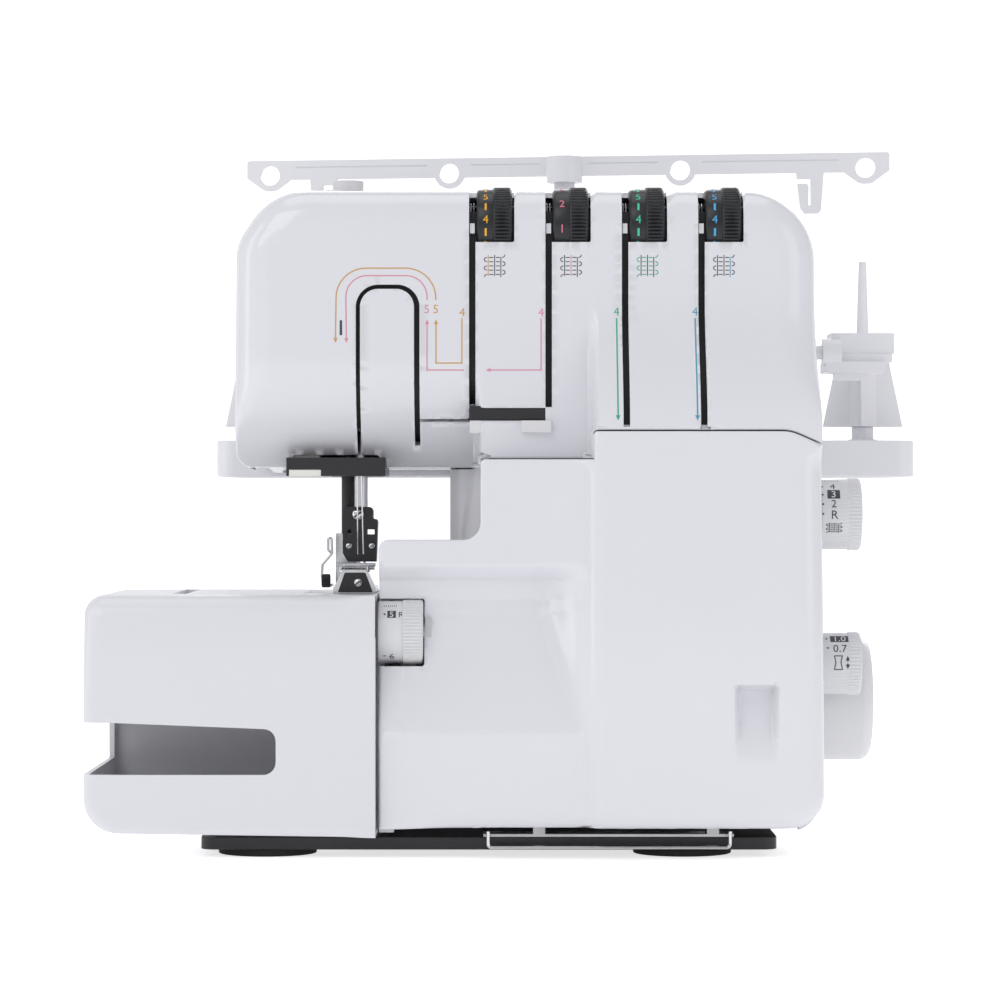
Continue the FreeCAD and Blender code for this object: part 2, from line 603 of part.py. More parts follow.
def make_extension_table():
    left = TABLE_LEFT
    right = SPLIT_X - PART_GAP

    def form(inset):
        open_end = right + inset * 2
        points = [(left + inset, TABLE_BOTTOM + inset, TABLE_LOW_R - inset),
                  (open_end, TABLE_BOTTOM + inset, 0), (open_end, BED_TOP - inset, 0),
                  (left + inset, BED_TOP - inset, TABLE_TOP_R - inset)]
        plan = round_box(left + inset, right + 20, TABLE_FRONT + inset, TABLE_BACK - inset, 0,
                         BED_TOP + 1, TABLE_PLAN_R - inset)
        return prism_xz(points, TABLE_FRONT, TABLE_BACK).common(plan)

    arm_cut = box(SPLIT_X - ARM_LEN - 0.8, right + 1, ARM_FRONT - CLEAR, ARM_BACK + CLEAR,
                  BED_TOP - WALL - 1, BED_TOP + 1)
    slot = prism_xz([(left - 1, SLOT_Z[0], 0), (left + SLOT_LEN, SLOT_Z[0], SLOT_R),
                     (left + SLOT_LEN, SLOT_Z[1], SLOT_R), (left - 1, SLOT_Z[1], 0)],
                    TABLE_FRONT - 1, TABLE_FRONT + WALL + 1)
    end_slot = box(left - 1, left + WALL + 7, TABLE_FRONT + 1, TABLE_BACK - WALL - 6, SLOT_Z[0], SLOT_Z[1])
    floor_cut = box(left + 20, right + 1, TABLE_FRONT + WALL, TABLE_BACK - WALL, TABLE_BOTTOM - 1,
                    TABLE_BOTTOM + WALL + 1)
    return cut(form(0.0), form(WALL), arm_cut, slot, end_slot, floor_cut)


# ---------------------------------------------------------------- base
def make_base_plate():
    plate = round_box(SPLIT_X - 72, BODY_RIGHT - 17.5, COVER_BACK + 1, CASE_BACK - 4, FOOT_H, BASE_TOP,
                      6)
    return cut(plate, round_box(SPLIT_X - 50, SPLIT_X - 14, COVER_BACK + 26, ARM_BACK - 20, FOOT_H - 1,
                                BASE_TOP + 1, 6))


def foot_places():
    front = COVER_BACK + FOOT_R + 2
    rear = CASE_BACK - FOOT_R - 6
    return [(SPLIT_X - 46, front), (BODY_RIGHT - 55, front), (SPLIT_X - 46, rear), (BODY_RIGHT - 38, rear)]


def make_feet():
    return Part.makeCompound([rod_z(0, FOOT_H, x, y, FOOT_R) for x, y in foot_places()])


# ---------------------------------------------------------------- frame


def make_frame():
    """Cast frame: floor slab, two uprights with the shaft bearings, upper arm and head lugs."""
    slab = box(UPRIGHT_A, UPRIGHT_B + UPRIGHT_T, FRAME_Y0, CASE_BACK - 8, BASE_TOP, BASE_TOP + 6)
    inner = box(UPRIGHT_A, UPRIGHT_A + UPRIGHT_T, FRAME_Y0, SHAFT_Y + 14, BASE_TOP, SHAFT_Z + 16)
    outer = box(UPRIGHT_B, UPRIGHT_B + UPRIGHT_T, FRAME_Y0, SHAFT_Y + 26, BASE_TOP, ARM_CAST_Z[1])
    arm = box(HEAD_LEFT + 22, UPRIGHT_B + UPRIGHT_T, HEAD_SPLIT + 8, HEAD_SPLIT + 36, ARM_CAST_Z[0],
              ARM_CAST_Z[1])
    hanger = box(UPRIGHT_A, UPRIGHT_A + UPRIGHT_T, UPPER_SHAFT_Y - 12, HEAD_SPLIT + 20,
                 UPPER_SHAFT_Z - 12, ARM_CAST_Z[1])
    spine = box(HEAD_LEFT + 22, HEAD_LEFT + 30, NEEDLE_Y - 10, HEAD_SPLIT + 36, LUG_LOW_Z, ARM_CAST_Z[1])
    lugs = [box(HEAD_LEFT + 22, NEEDLE_X + 9, NEEDLE_Y - 10, PRESSER_Y + 10, z, z + LUG_T)
            for z in (LUG_LOW_Z, LUG_HIGH_Z)]
    casting = fuse(slab, inner, outer, arm, hanger, spine, *lugs)
    bores = [rod_z(LUG_LOW_Z - 1, LUG_HIGH_Z + LUG_T + 1, NEEDLE_X, NEEDLE_Y, NEEDLE_BAR_R + BUSH_WALL),
             rod_z(LUG_LOW_Z - 1, LUG_HIGH_Z + LUG_T + 1, PRESSER_X, PRESSER_Y, PRESSER_BAR_R + BUSH_WALL),
             rod_x(UPRIGHT_A - 1, UPRIGHT_B + UPRIGHT_T + 1, SHAFT_Y, SHAFT_Z, SHAFT_R + BUSH_WALL),
             rod_x(UPRIGHT_A - 1, UPRIGHT_B + UPRIGHT_T + 1, UPPER_SHAFT_Y, UPPER_SHAFT_Z,
                   SHAFT_R + BUSH_WALL)]
    return cut(casting, *bores)


def make_bushes():
    """Plain bushes of the two bars and the two shafts."""
    rings = []
    for x, y, r in ((NEEDLE_X, NEEDLE_Y, NEEDLE_BAR_R), (PRESSER_X, PRESSER_Y, PRESSER_BAR_R)):
        rings += [ring_z(z, z + LUG_T, x, y, r + BUSH_WALL, r + FIT) for z in (LUG_LOW_Z, LUG_HIGH_Z)]
    for y, z in ((SHAFT_Y, SHAFT_Z), (UPPER_SHAFT_Y, UPPER_SHAFT_Z)):
        rings += [ring_x(x, x + UPRIGHT_T, y, z, SHAFT_R + BUSH_WALL, SHAFT_R + FIT)
                  for x in (UPRIGHT_A, UPRIGHT_B)]
    return Part.makeCompound(rings)


# ---------------------------------------------------------------- drive
def make_main_shaft():
    shaft = rod_x(UPRIGHT_A - 5, BODY_RIGHT + HANDWHEEL_W - 4, SHAFT_Y, SHAFT_Z, SHAFT_R)
    timing = rod_x(TIMING_X, TIMING_X + PULLEY_W, SHAFT_Y, SHAFT_Z, TIMING_R)
    return fuse(shaft, timing)


def make_drive_pulley():
    return ring_x(DRIVE_X, DRIVE_X + PULLEY_W, SHAFT_Y, SHAFT_Z, PULLEY_R, SHAFT_R)


def make_handwheel():
    x0 = BODY_RIGHT + 1.2
    disc = rod_x(x0, x0 + HANDWHEEL_W, SHAFT_Y, SHAFT_Z, HANDWHEEL_R)
    disc = disc.makeFillet(5, [e for e in disc.Edges if e.BoundBox.XMin > x0 + HANDWHEEL_W - 1
                               and e.Length > 10])
    return cut(disc, rod_x(x0 - 1, BODY_RIGHT + HANDWHEEL_W - 4, SHAFT_Y, SHAFT_Z, SHAFT_R))


def make_motor_housing():
    x0 = DRIVE_X - 64
    can = rod_x(x0, DRIVE_X - 4, MOTOR_Y, MOTOR_Z, MOTOR_R)
    cradle = box(x0 + 8, DRIVE_X - 12, MOTOR_Y - 14, MOTOR_Y + 14, BASE_TOP + 6, MOTOR_Z)
    return cut(fuse(can, cradle), rod_x(x0 + 10, DRIVE_X, MOTOR_Y, MOTOR_Z, MOTOR_SHAFT_R + FIT))


def make_motor_rotor():
    shaft = rod_x(DRIVE_X - 50, DRIVE_X + PULLEY_W + 1, MOTOR_Y, MOTOR_Z, MOTOR_SHAFT_R)
    return fuse(shaft, rod_x(DRIVE_X, DRIVE_X + PULLEY_W, MOTOR_Y, MOTOR_Z, MOTOR_PULLEY_R))


def make_upper_shaft():
    """Shaft with its timing pulley, and a crank disc whose pin ends short of the needle bar's link."""
    shaft = rod_x(UPRIGHT_A - 4, UPRIGHT_B + UPRIGHT_T + 2, UPPER_SHAFT_Y, UPPER_SHAFT_Z, SHAFT_R)
    timing = rod_x(TIMING_X, TIMING_X + PULLEY_W, UPPER_SHAFT_Y, UPPER_SHAFT_Z, TIMING_R)
    x1 = UPRIGHT_A - 4
    disc = rod_x(x1 - CRANK_W, x1, UPPER_SHAFT_Y, UPPER_SHAFT_Z, CRANK_R)
    pin = rod_x(x1 - CRANK_W - 2, x1, UPPER_SHAFT_Y, UPPER_SHAFT_Z - NEEDLE_STROKE / 2 + 1, 2.5)
    return fuse(shaft, timing, disc, pin)


# ---------------------------------------------------------------- needle and presser


def make_needle_bar():
    bar = rod_z(CLAMP_BOTTOM + 6, BAR_TOP, NEEDLE_X, NEEDLE_Y, NEEDLE_BAR_R)
    link = box(NEEDLE_X - 4.5, NEEDLE_X + 4.0, NEEDLE_Y - 5, NEEDLE_Y + 4, LUG_LOW_Z + LUG_T + 1,
               LUG_LOW_Z + LUG_T + 11)
    return fuse(bar, link)


def make_needle_clamp():
    """Block on the bar's lower end that holds both needles, with two windows through its upper half."""
    x0 = NEEDLE_X - 7.4
    x1 = NEEDLE_X + 7.0
    top = CLAMP_BOTTOM + CLAMP_H
    outline = [(x0 + 2, CLAMP_BOTTOM, 0), (x1 - 0.6, CLAMP_BOTTOM, 0), (x1, top - 5, 1.2),
               (x1 - 2, top - 5, 0.6), (x1 - 2, top, 2), (x0, top, 2), (x0, CLAMP_BOTTOM + 3.5, 0)]
    body = prism_xz(outline, NEEDLE_Y - 6, NEEDLE_Y + 6)
    bore = rod_z(CLAMP_BOTTOM + 6, top + 1, NEEDLE_X, NEEDLE_Y, NEEDLE_BAR_R)
    sockets = [rod_z(CLAMP_BOTTOM - 1, CLAMP_BOTTOM + SOCKET_H, x, NEEDLE_Y, NEEDLE_R)
               for x in needle_places()]
    windows = [box(x, x + w, NEEDLE_Y - 7, NEEDLE_Y + 7, CLAMP_BOTTOM + 11.2, CLAMP_BOTTOM + 13.2)
               for x, w in ((x0 + 1.4, 2.0), (x1 - 4.6, 3.2))]
    screws = [rod_y(NEEDLE_Y - 7, NEEDLE_Y - 5.5, x, CLAMP_BOTTOM + 6.5, 1.2) for x in (x0 + 2.6, x1 - 2.4)]
    top_screw = rod_y(NEEDLE_Y - 7, NEEDLE_Y - 5, NEEDLE_X - 1, top - 3, 2.3)
    return fuse(cut(body, bore, *sockets, *windows), top_screw, *screws)


def needle_places(spread=1.0):
    return (NEEDLE_X - NEEDLE_GAP * spread / 2, NEEDLE_X + NEEDLE_GAP * spread / 2)


def make_needles():
    pieces = []
    for x in needle_places():
        shank = rod_z(NEEDLE_TIP + POINT_H, CLAMP_BOTTOM + SOCKET_H, x, NEEDLE_Y, NEEDLE_R)
        point = cone_z(NEEDLE_TIP, NEEDLE_TIP + POINT_H, x, NEEDLE_Y, 0.08, NEEDLE_R)
        pieces.append(fuse(shank, point))
    return Part.makeCompound(pieces)


def make_presser_bar():
    bar = rod_z(BED_TOP + 14, CASE_TOP - WALL - FOOT_LIFT - 9, PRESSER_X, PRESSER_Y, PRESSER_BAR_R)
    collar = box(PRESSER_X - 9, PRESSER_X + 4.5, PRESSER_Y - 4.5, PRESSER_Y + 4.5,
                 LUG_LOW_Z + LUG_T + 1, LUG_LOW_Z + LUG_T + 9)
    return fuse(bar, collar)


def make_presser_foot():
    """Long sole with a window round the needles, a toe block in front and a shank block behind."""
    x0 = NEEDLE_X - FOOT_W * 0.62
    x1 = x0 + FOOT_W
    z0 = BED_TOP + 0.1
    sole = box(x0, x1, NEEDLE_Y - 24, NEEDLE_Y + 22, z0, z0 + 2.4)
    toe = prism_xz([(x0, z0 + 2, 0), (x1, z0 + 2, 0), (x1 - 3.5, z0 + 9.5, 1), (x0 + 4, z0 + 9.5, 1)],
                   NEEDLE_Y - 24, NEEDLE_Y - 9)
    shank = box(PRESSER_X - 5, PRESSER_X + 5, NEEDLE_Y + 7, NEEDLE_Y + 20, z0 + 2, BED_TOP + 24)
    window = box(NEEDLE_X - 3.4, NEEDLE_X + 3.4, NEEDLE_Y - 3.4, NEEDLE_Y + 3.4, z0 - 1, z0 + 3)
    socket = rod_z(BED_TOP + 14, BED_TOP + 25, PRESSER_X, PRESSER_Y, PRESSER_BAR_R)
    return cut(fuse(sole, toe, shank), window, socket)


def make_presser_spring():
    z0 = LUG_LOW_Z + LUG_T + 10
    return ring_z(z0, LUG_HIGH_Z - 1, PRESSER_X, PRESSER_Y, PRESSER_BAR_R + 2.6, PRESSER_BAR_R + 0.8)


def make_pressure_knob():
    stem = rod_z(CASE_TOP - 9, CASE_TOP + 2, PRESSER_X, PRESSER_Y, KNOB_R - 2.4)
    cap = rod_z(CASE_TOP + 0.6, CASE_TOP + 7, PRESSER_X, PRESSER_Y, KNOB_R)
    return fuse(stem, cap)


# ---------------------------------------------------------------- stitch forming


def make_needle_plate():
    plate = box(PLATE_X0, PLATE_X1, PLATE_Y0, PLATE_Y1, BED_TOP - PLATE_T, BED_TOP)
    under = BED_TOP - PLATE_T - 1
    over = BED_TOP + 1
    holes = [box(NEEDLE_X - 2.6, NEEDLE_X + 2.6, NEEDLE_Y - 1.2, NEEDLE_Y + 1.2, under, over)]
    for x in FEED_X:
        holes.append(box(x - CLEAR, x + FEED_W + CLEAR, NEEDLE_Y - 16, NEEDLE_Y + 18, under, over))
    holes.append(box(KNIFE_X - CLEAR, KNIFE_X + 5, NEEDLE_Y - 12, NEEDLE_Y + 6, under, over))
    return cut(plate, *holes)


def make_lower_knife():
    blade = box(KNIFE_X, KNIFE_X + KNIFE_T, NEEDLE_Y - 11, NEEDLE_Y - 5, BED_TOP - 13, BED_TOP - 0.2)
    return cut(blade, rod_x(KNIFE_X - 1, KNIFE_X + 4, NEEDLE_Y - 8, BED_TOP - 9, 1.6))


def make_upper_knife():
    """Blade that shears down past the lower knife, on an arm that comes from in front of the bed."""
    x0 = KNIFE_X + KNIFE_T + 0.15
    blade = box(x0, x0 + 1.6, NEEDLE_Y - 11, NEEDLE_Y - 5, BED_TOP - 1.5, BED_TOP + 20)
    arm = box(x0, x0 + 3.0, NEEDLE_Y - 11, NEEDLE_Y - 5, BED_TOP + 12, BED_TOP + 20)
    return fuse(blade, arm)


def make_feed_dogs():
    z1 = BED_TOP - 0.3
    bars = []
    for x in FEED_X:
        bars.append(box(x, x + FEED_W, NEEDLE_Y - 15, NEEDLE_Y + 13, BED_TOP - FEED_H, z1))
    carrier = box(FEED_X[0], FEED_X[1] + FEED_W, NEEDLE_Y + 6, NEEDLE_Y + 13, BED_TOP - 12,
                  BED_TOP - FEED_H + 1)
    return fuse(carrier, *bars)


def make_lower_looper():
    """Thin hooked arm that swings about its pin; its tip is left of the needles at rest."""
    px, pz = LOWER_PIVOT
    y0 = LOWER_LOOPER_Y - LOOPER_T / 2
    under = ARM_BOTTOM + WALL + LOOPER_CLEAR
    points = [(px + 4, pz, 0), (px - 14, under + 3, 10), (px - 40, under + 5.4, 0),
              (px - 40, under + 4, 0), (px - 19, under, 6), (px - 4, pz, 0)]
    blade = prism_xz(points, y0, y0 + LOOPER_T)
    boss = rod_y(y0, y0 + LOOPER_T + 2, px, pz, LOOPER_PIVOT_R + 3)
    return cut(fuse(blade, boss), rod_y(y0 - 1, y0 + 9, px, pz, LOOPER_PIVOT_R + FIT))


def make_upper_looper():
    """Hooked blade on a round rod that slides up to the left through its guide."""
    px, pz = UPPER_GUIDE
    y0 = UPPER_LOOPER_Y - LOOPER_T / 2
    rod = rod_z(pz - 26, pz + 16, px, UPPER_LOOPER_Y, LOOPER_PIVOT_R)
    blade = prism_xz([(px - 3, pz + 10, 0), (px + 3, pz + 10, 0), (px + 4, pz + 30, 8),
                      (px - 1, pz + 42, 0), (px - 2, pz + 41, 0), (px - 1, pz + 28, 5)],
                     y0, y0 + LOOPER_T)
    looper = fuse(rod, blade)
    looper.rotate(V(px, UPPER_LOOPER_Y, pz), V(0, 1, 0), -GUIDE_LEAN)
    return looper


def make_looper_carrier():
    """Plate on the frame's slab with the lower looper's pin and the upper looper's guide."""
    x0 = LOWER_PIVOT[0] - 7
    x1 = UPPER_GUIDE[0] + 14
    plate = box(x0, x1, FRAME_Y0, FRAME_Y0 + 4, BASE_TOP + 6, UPPER_GUIDE[1] + 7)
    pin = rod_y(LOWER_LOOPER_Y - LOOPER_T, FRAME_Y0 + 1, LOWER_PIVOT[0], LOWER_PIVOT[1], LOOPER_PIVOT_R)
    px, pz = UPPER_GUIDE
    guide = rod_z(pz - 7, pz + 3, px, UPPER_LOOPER_Y, LOOPER_PIVOT_R + 3)
    hole = rod_z(pz - 40, pz + 40, px, UPPER_LOOPER_Y, LOOPER_PIVOT_R + FIT)
    arm = box(px - 5, px + 5, UPPER_LOOPER_Y + LOOPER_PIVOT_R + 1.5, FRAME_Y0 + 1, pz - 7, pz + 3)
    for shape in (guide, hole):
        shape.rotate(V(px, UPPER_LOOPER_Y, pz), V(0, 1, 0), -GUIDE_LEAN)
    return cut(fuse(plate, pin, arm, guide), hole)


# ---------------------------------------------------------------- dials
def make_tension_dial(i):
    x = dial_x(i)
    drum = rod_x(x - DIAL_W / 2, x + DIAL_W / 2, DIAL_Y, DIAL_Z, DIAL_R)
    return cut(drum, rod_x(x - DIAL_W, x + DIAL_W, DIAL_Y, DIAL_Z, DIAL_SPINDLE_R + FIT))


def dial_spindle():
    return rod_x(dial_x(0) - 13, dial_x(3) + LUG_REACH, DIAL_Y, DIAL_Z, DIAL_SPINDLE_R)


def make_dial_bracket():
    """Plate behind the dials with a lug beside each one for the shared spindle."""
    y1 = DIAL_Y + DIAL_R + 5
    plate = box(dial_x(0) - 13, dial_x(3) + LUG_REACH, y1, y1 + 2, DIAL_Z - 16, DIAL_Z + 2)
    ends = [dial_x(i) + LUG_REACH for i in range(4)] + [dial_x(0) - 11]
    lugs = [box(x - 2, x, DIAL_Y - 6, y1 + 1, DIAL_Z - 8, DIAL_Z + 2) for x in ends]
    return fuse(plate, dial_spindle(), *lugs)


def make_tension_discs():
    """A pair of dished discs in each channel, beside its dial."""
    discs = []
    for i in range(4):
        for x in (channel_x(i) - 0.9, channel_x(i) + 0.3):
            discs.append(ring_x(x, x + 0.6, DIAL_Y, DIAL_Z, DISC_R, DIAL_SPINDLE_R))
    return Part.makeCompound(discs)


def make_side_dial(z, r):
    x0 = BODY_RIGHT + 0.6
    drum = rod_x(x0, x0 + SIDE_DIAL_W, SIDE_DIAL_Y, z, r)
    return cut(drum, rod_x(x0 - 1, x0 + SIDE_DIAL_W - 2, SIDE_DIAL_Y, z, SPINDLE_R + FIT))


def side_spindle():
    """Two headless pins in a plate inside the column's right wall."""
    plate = box(BODY_RIGHT - WALL - 3, BODY_RIGHT - WALL - 0.2, SIDE_DIAL_Y - 8, SIDE_DIAL_Y + 8,
                FEED_DIAL_Z - 12, LENGTH_DIAL_Z + 12)
    pins = [rod_x(BODY_RIGHT - WALL - 1, BODY_RIGHT + SIDE_DIAL_W - 2, SIDE_DIAL_Y, z, SPINDLE_R)
            for z in (FEED_DIAL_Z, LENGTH_DIAL_Z)]
    return fuse(plate, *pins)


def make_width_dial():
    x0 = SPLIT_X + WALL + 0.6
    drum = rod_x(x0, x0 + WIDTH_DIAL_W, WIDTH_DIAL_Y, WIDTH_DIAL_Z, WIDTH_DIAL_R)
    return cut(drum, rod_x(x0 - 1, x0 + WIDTH_DIAL_W + 1, WIDTH_DIAL_Y, WIDTH_DIAL_Z, SPINDLE_R + FIT))


def width_spindle():
    """Pin for the width dial on an angle that comes forward from the bed."""
    x0 = SPLIT_X + WALL + 0.8
    pin = rod_x(x0, x0 + WIDTH_DIAL_W + 4, WIDTH_DIAL_Y, WIDTH_DIAL_Z, SPINDLE_R)
    wing = box(x0 + WIDTH_DIAL_W + 0.6, x0 + WIDTH_DIAL_W + 3, WIDTH_DIAL_Y - 5, UPPER_LOOPER_Y - 12,
               WIDTH_DIAL_Z - 6, WIDTH_DIAL_Z + 6)
    return fuse(pin, wing)


# ---------------------------------------------------------------- thread guides
def channel_guides():
    """A small white hook at the top of each channel."""
    hooks = []
    for i in range(4):
        x = channel_x(i)
        hooks.append(box(x - CHANNEL_W / 2 + 0.3, x + CHANNEL_W / 2 - 0.3, HOOK_Y[0], HOOK_Y[1],
                         CASE_TOP - 18, CASE_TOP - 14))
    return hooks


def guide_span():
    return channel_x(0) - CHANNEL_W / 2 + 0.3, channel_x(1) + CHANNEL_W / 2 - 0.3


def make_guide_block():
    """Dark block across the bottoms of the two needle-thread channels."""
    x0, x1 = guide_span()
    top = channel_bottom(0) + 0.5
    return box(x0, x1, HEAD_FRONT + 0.5, HEAD_FRONT + 5.5, top - 5.6, top)


def guide_plate():
    """White plate below the dark block, thicker at its right end."""
    x0, x1 = guide_span()
    top = channel_bottom(0) - 5.4
    slim = box(x0, x1, HEAD_FRONT + 0.8, HEAD_FRONT + 5.0, top - 5.0, top)
    thick = box(x1 - 12, x1, HEAD_FRONT - 2.6, HEAD_FRONT + 5.0, top - 4.8, top)
    slot = box(x0 + 10, x0 + 18, HEAD_FRONT, HEAD_FRONT + 6, top - 3.6, top - 2.2)
    return cut(fuse(slim, thick), slot)


def make_rear_guide():
    """Upright plate on the back of the head's top with one eye for each thread."""
    x0 = dial_x(0) - 28
    x1 = dial_x(3) + 10
    z1 = CASE_TOP + 9.0
    plate = prism_xz([(x0, CASE_TOP - 8, 0), (x1, CASE_TOP - 8, 0), (x1, z1, 8), (x0, z1, 8)],
                     CASE_BACK + 0.2, CASE_BACK + 0.2 + GUIDE_T)
    eyes = [rod_y(CASE_BACK - 1, CASE_BACK + 4, dial_x(i), z1 - 4.6, GUIDE_HOLE_R) for i in range(4)]
    return cut(plate, *eyes)


# ---------------------------------------------------------------- lifter, lamp, electrics
def make_lifter_lever():
    x0 = BODY_RIGHT + 13
    shaft = rod_x(BODY_RIGHT - 14, x0 + 2, LEVER_Y, LEVER_Z, LEVER_SHAFT_R)
    grip = box(x0, x0 + 27, LEVER_Y + 1, LEVER_Y + 24, LEVER_Z - 0.5, LEVER_Z + 8.5)
    lip = box(x0 - 1, x0 + 26, LEVER_Y, LEVER_Y + 23, LEVER_Z - 4, LEVER_Z - 0.4)
    arm = box(x0 - 3, x0 + 23, LEVER_Y - 4, LEVER_Y + 22, LEVER_Z - 8.5, LEVER_Z - 3.9)
    rib = prism_xz([(x0 + 2, LEVER_Z - 11.5, 0), (x0 + 14, LEVER_Z - 11.5, 1.5), (x0 + 17.5, LEVER_Z - 8, 0),
                    (x0 + 2, LEVER_Z - 8, 0)], LEVER_Y + 2, LEVER_Y + 18)
    hub = rod_x(x0 - 4, x0 + 4, LEVER_Y, LEVER_Z, 6)
    return fuse(shaft, hub, arm, lip, rib, grip)


def lamp_window():
    """Square that the lens fills in the head plate."""
    x0 = HEAD_OPENING[0] + 3.5
    return box(x0, x0 + 8, HEAD_FRONT + 29, HEAD_FRONT + 39, HEAD_BOTTOM - 1, HEAD_BOTTOM + 4.1)


def lamp_lens():
    """Strip along the plate's front lower edge."""
    x0 = HEAD_OPENING[0] + 1.5
    return box(x0, x0 + 13, HEAD_FRONT + 13.8, HEAD_FRONT + 40, HEAD_BOTTOM - 3.7, HEAD_BOTTOM - 0.9)


def make_head_plate():
    """Black plate under the head, open round the bars and for the lamp."""
    x0 = HEAD_OPENING[0] + 0.4
    x1 = HEAD_OPENING[1] - 0.4
    plate = box(x0, x1, HEAD_FRONT + 14, HEAD_SPLIT - 1, HEAD_BOTTOM - 3.5, HEAD_BOTTOM + 4)
    room = box(NEEDLE_X - 12.5, NEEDLE_X + 9, NEEDLE_Y - 11, PRESSER_Y + 6, HEAD_BOTTOM - 4,
               HEAD_BOTTOM + 5)
    return cut(plate, room, lamp_window(), lamp_lens())


def make_lamp():
    x0 = HEAD_OPENING[0] + 1.5
    socket = box(x0, x0 + 12, HEAD_FRONT + 27, HEAD_FRONT + 41, HEAD_BOTTOM + 4, HEAD_BOTTOM + 12)
    return fuse(socket, lamp_lens(), lamp_window())


def power_inlet():
    y0 = SWITCH_Y - SWITCH_D / 2 + PANEL_GAP
    y1 = SWITCH_Y + SWITCH_D / 2 - PANEL_GAP
    half_h = INLET_H / 2 - PANEL_GAP
    body = box(BODY_RIGHT - 18, BODY_RIGHT + 0.8, y0, y1, INLET_Z - half_h, INLET_Z + half_h)
    mouth = box(BODY_RIGHT - 14, BODY_RIGHT + 1, y0 + 3, y1 - 3, INLET_Z - 8, INLET_Z + 8)
    pins = [rod_x(BODY_RIGHT - 15, BODY_RIGHT - 7, SWITCH_Y + dy, INLET_Z + dz, 1.2)
            for dy, dz in ((-5, -3), (5, -3), (0, 4))]
    return fuse(cut(body, mouth), *pins)


def switch_frame():
    y0 = SWITCH_Y - SWITCH_D / 2 + PANEL_GAP
    y1 = SWITCH_Y + SWITCH_D / 2 - PANEL_GAP
    z0 = SWITCH_Z - SWITCH_H / 2 + PANEL_GAP
    z1 = SWITCH_Z + SWITCH_H / 2 - PANEL_GAP
    body = box(BODY_RIGHT - 16, BODY_RIGHT + 1, y0, y1, z0, z1)
    return cut(body, box(BODY_RIGHT - 12, BODY_RIGHT + 2, y0 + 2, y1 - 2, z0 + 2, z1 - 2))


def make_power_switch():
    """Rocker on a pin across Z: two faces that meet at a shallow angle."""
    half = SWITCH_D / 2 - 3.4
    z0 = SWITCH_Z - SWITCH_H / 2 + 3.0
    z1 = SWITCH_Z + SWITCH_H / 2 - 3.0
    pivot_x = BODY_RIGHT - 5
    points = [(pivot_x - 2, SWITCH_Y - half + 2, 0), (pivot_x + 4, SWITCH_Y - half, 0),
              (pivot_x + 5.4, SWITCH_Y, 0), (pivot_x + 7.5, SWITCH_Y + half, 0),
              (pivot_x - 2, SWITCH_Y + half - 2, 0)]
    pin = rod_z(z0 - 0.6, z1 + 0.6, pivot_x, SWITCH_Y, 1.5)
    return fuse(prism_xy(points, z0, z1), pin)


# ---------------------------------------------------------------- spool stand


def tray_plan(inset):
    x0 = TRAY_RIGHT - TRAY_LEN + inset
    x1 = TRAY_RIGHT - inset
    y0 = CASE_BACK + 2 + inset
    y1 = REAR - inset
    return [(x0, y0, 8), (x1, y0, 8), (x1, y1, 24), (x0, y1, 24)]


def pin_places():
    spots = []
    for reach, depth in zip(PIN_REACH, PIN_DEPTH):
        spots += [(TREE_X - reach, CASE_BACK + depth), (TREE_X + reach, CASE_BACK + depth)]
    return spots


def make_tray():
    outer = prism_xy(tray_plan(0.0), TRAY_BOTTOM, TRAY_TOP)
    inner = prism_xy(tray_plan(WALL), TRAY_BOTTOM - 1, TRAY_TOP - WALL)
    bosses = [rod_z(TRAY_BOTTOM + 2, TRAY_TOP, x, y, 8) for x, y in pin_places()]
    centre = rod_z(TRAY_BOTTOM, TRAY_TOP, TREE_X, TREE_Y, TREE_R + 5)
    holes = [rod_z(TRAY_BOTTOM, TRAY_TOP + 1, x, y, PIN_R + FIT) for x, y in pin_places()]
    holes.append(rod_z(TRAY_BOTTOM - 1, TRAY_TOP + 1, TREE_X, TREE_Y, TREE_R))
    return cut(fuse(cut(outer, inner), centre, *bosses), *holes)


def make_tray_bracket():
    """Steel angle on the rear casing that carries the tray and clamps the tree's lower tube."""
    x0 = TREE_X - 34
    x1 = TREE_X + 34
    y0 = CASE_BACK + 0.2
    back = box(x0, x1, y0, y0 + 2, TRAY_BOTTOM - 46, TRAY_BOTTOM + 6)
    shelf = box(x0, x1, y0, TREE_Y + 22, TRAY_BOTTOM - 2.2, TRAY_BOTTOM - 0.2)
    ribs = []
    for x in (x0, x1 - 2):
        web = Part.makePolygon([V(x, y0, TRAY_BOTTOM - 40), V(x, y0, TRAY_BOTTOM - 1),
                                V(x, TREE_Y + 16, TRAY_BOTTOM - 1), V(x, y0, TRAY_BOTTOM - 40)])
        ribs.append(Part.Face(web).extrude(V(2, 0, 0)))
    return cut(fuse(back, shelf, *ribs), rod_z(0, CASE_TOP, TREE_X, TREE_Y, TREE_R),
               box(x0 - 1, x1 + 1, y0 - 1, CASE_BACK + 40, TRAY_BOTTOM - 0.2, TRAY_BOTTOM + 7))


def make_spool_pins():
    pins = []
    for x, y in pin_places():
        shank = rod_z(TRAY_BOTTOM + 1, TRAY_TOP + PIN_SHOULDER, x, y, PIN_R)
        flange = rod_z(TRAY_TOP, TRAY_TOP + 1, x, y, PIN_R + 1.6)
        spike = cone_z(TRAY_TOP + PIN_SHOULDER, PIN_TOP, x, y, PIN_NECK_R, PIN_TIP_R)
        pins.append(fuse(shank, flange, spike))
    return Part.makeCompound(pins)


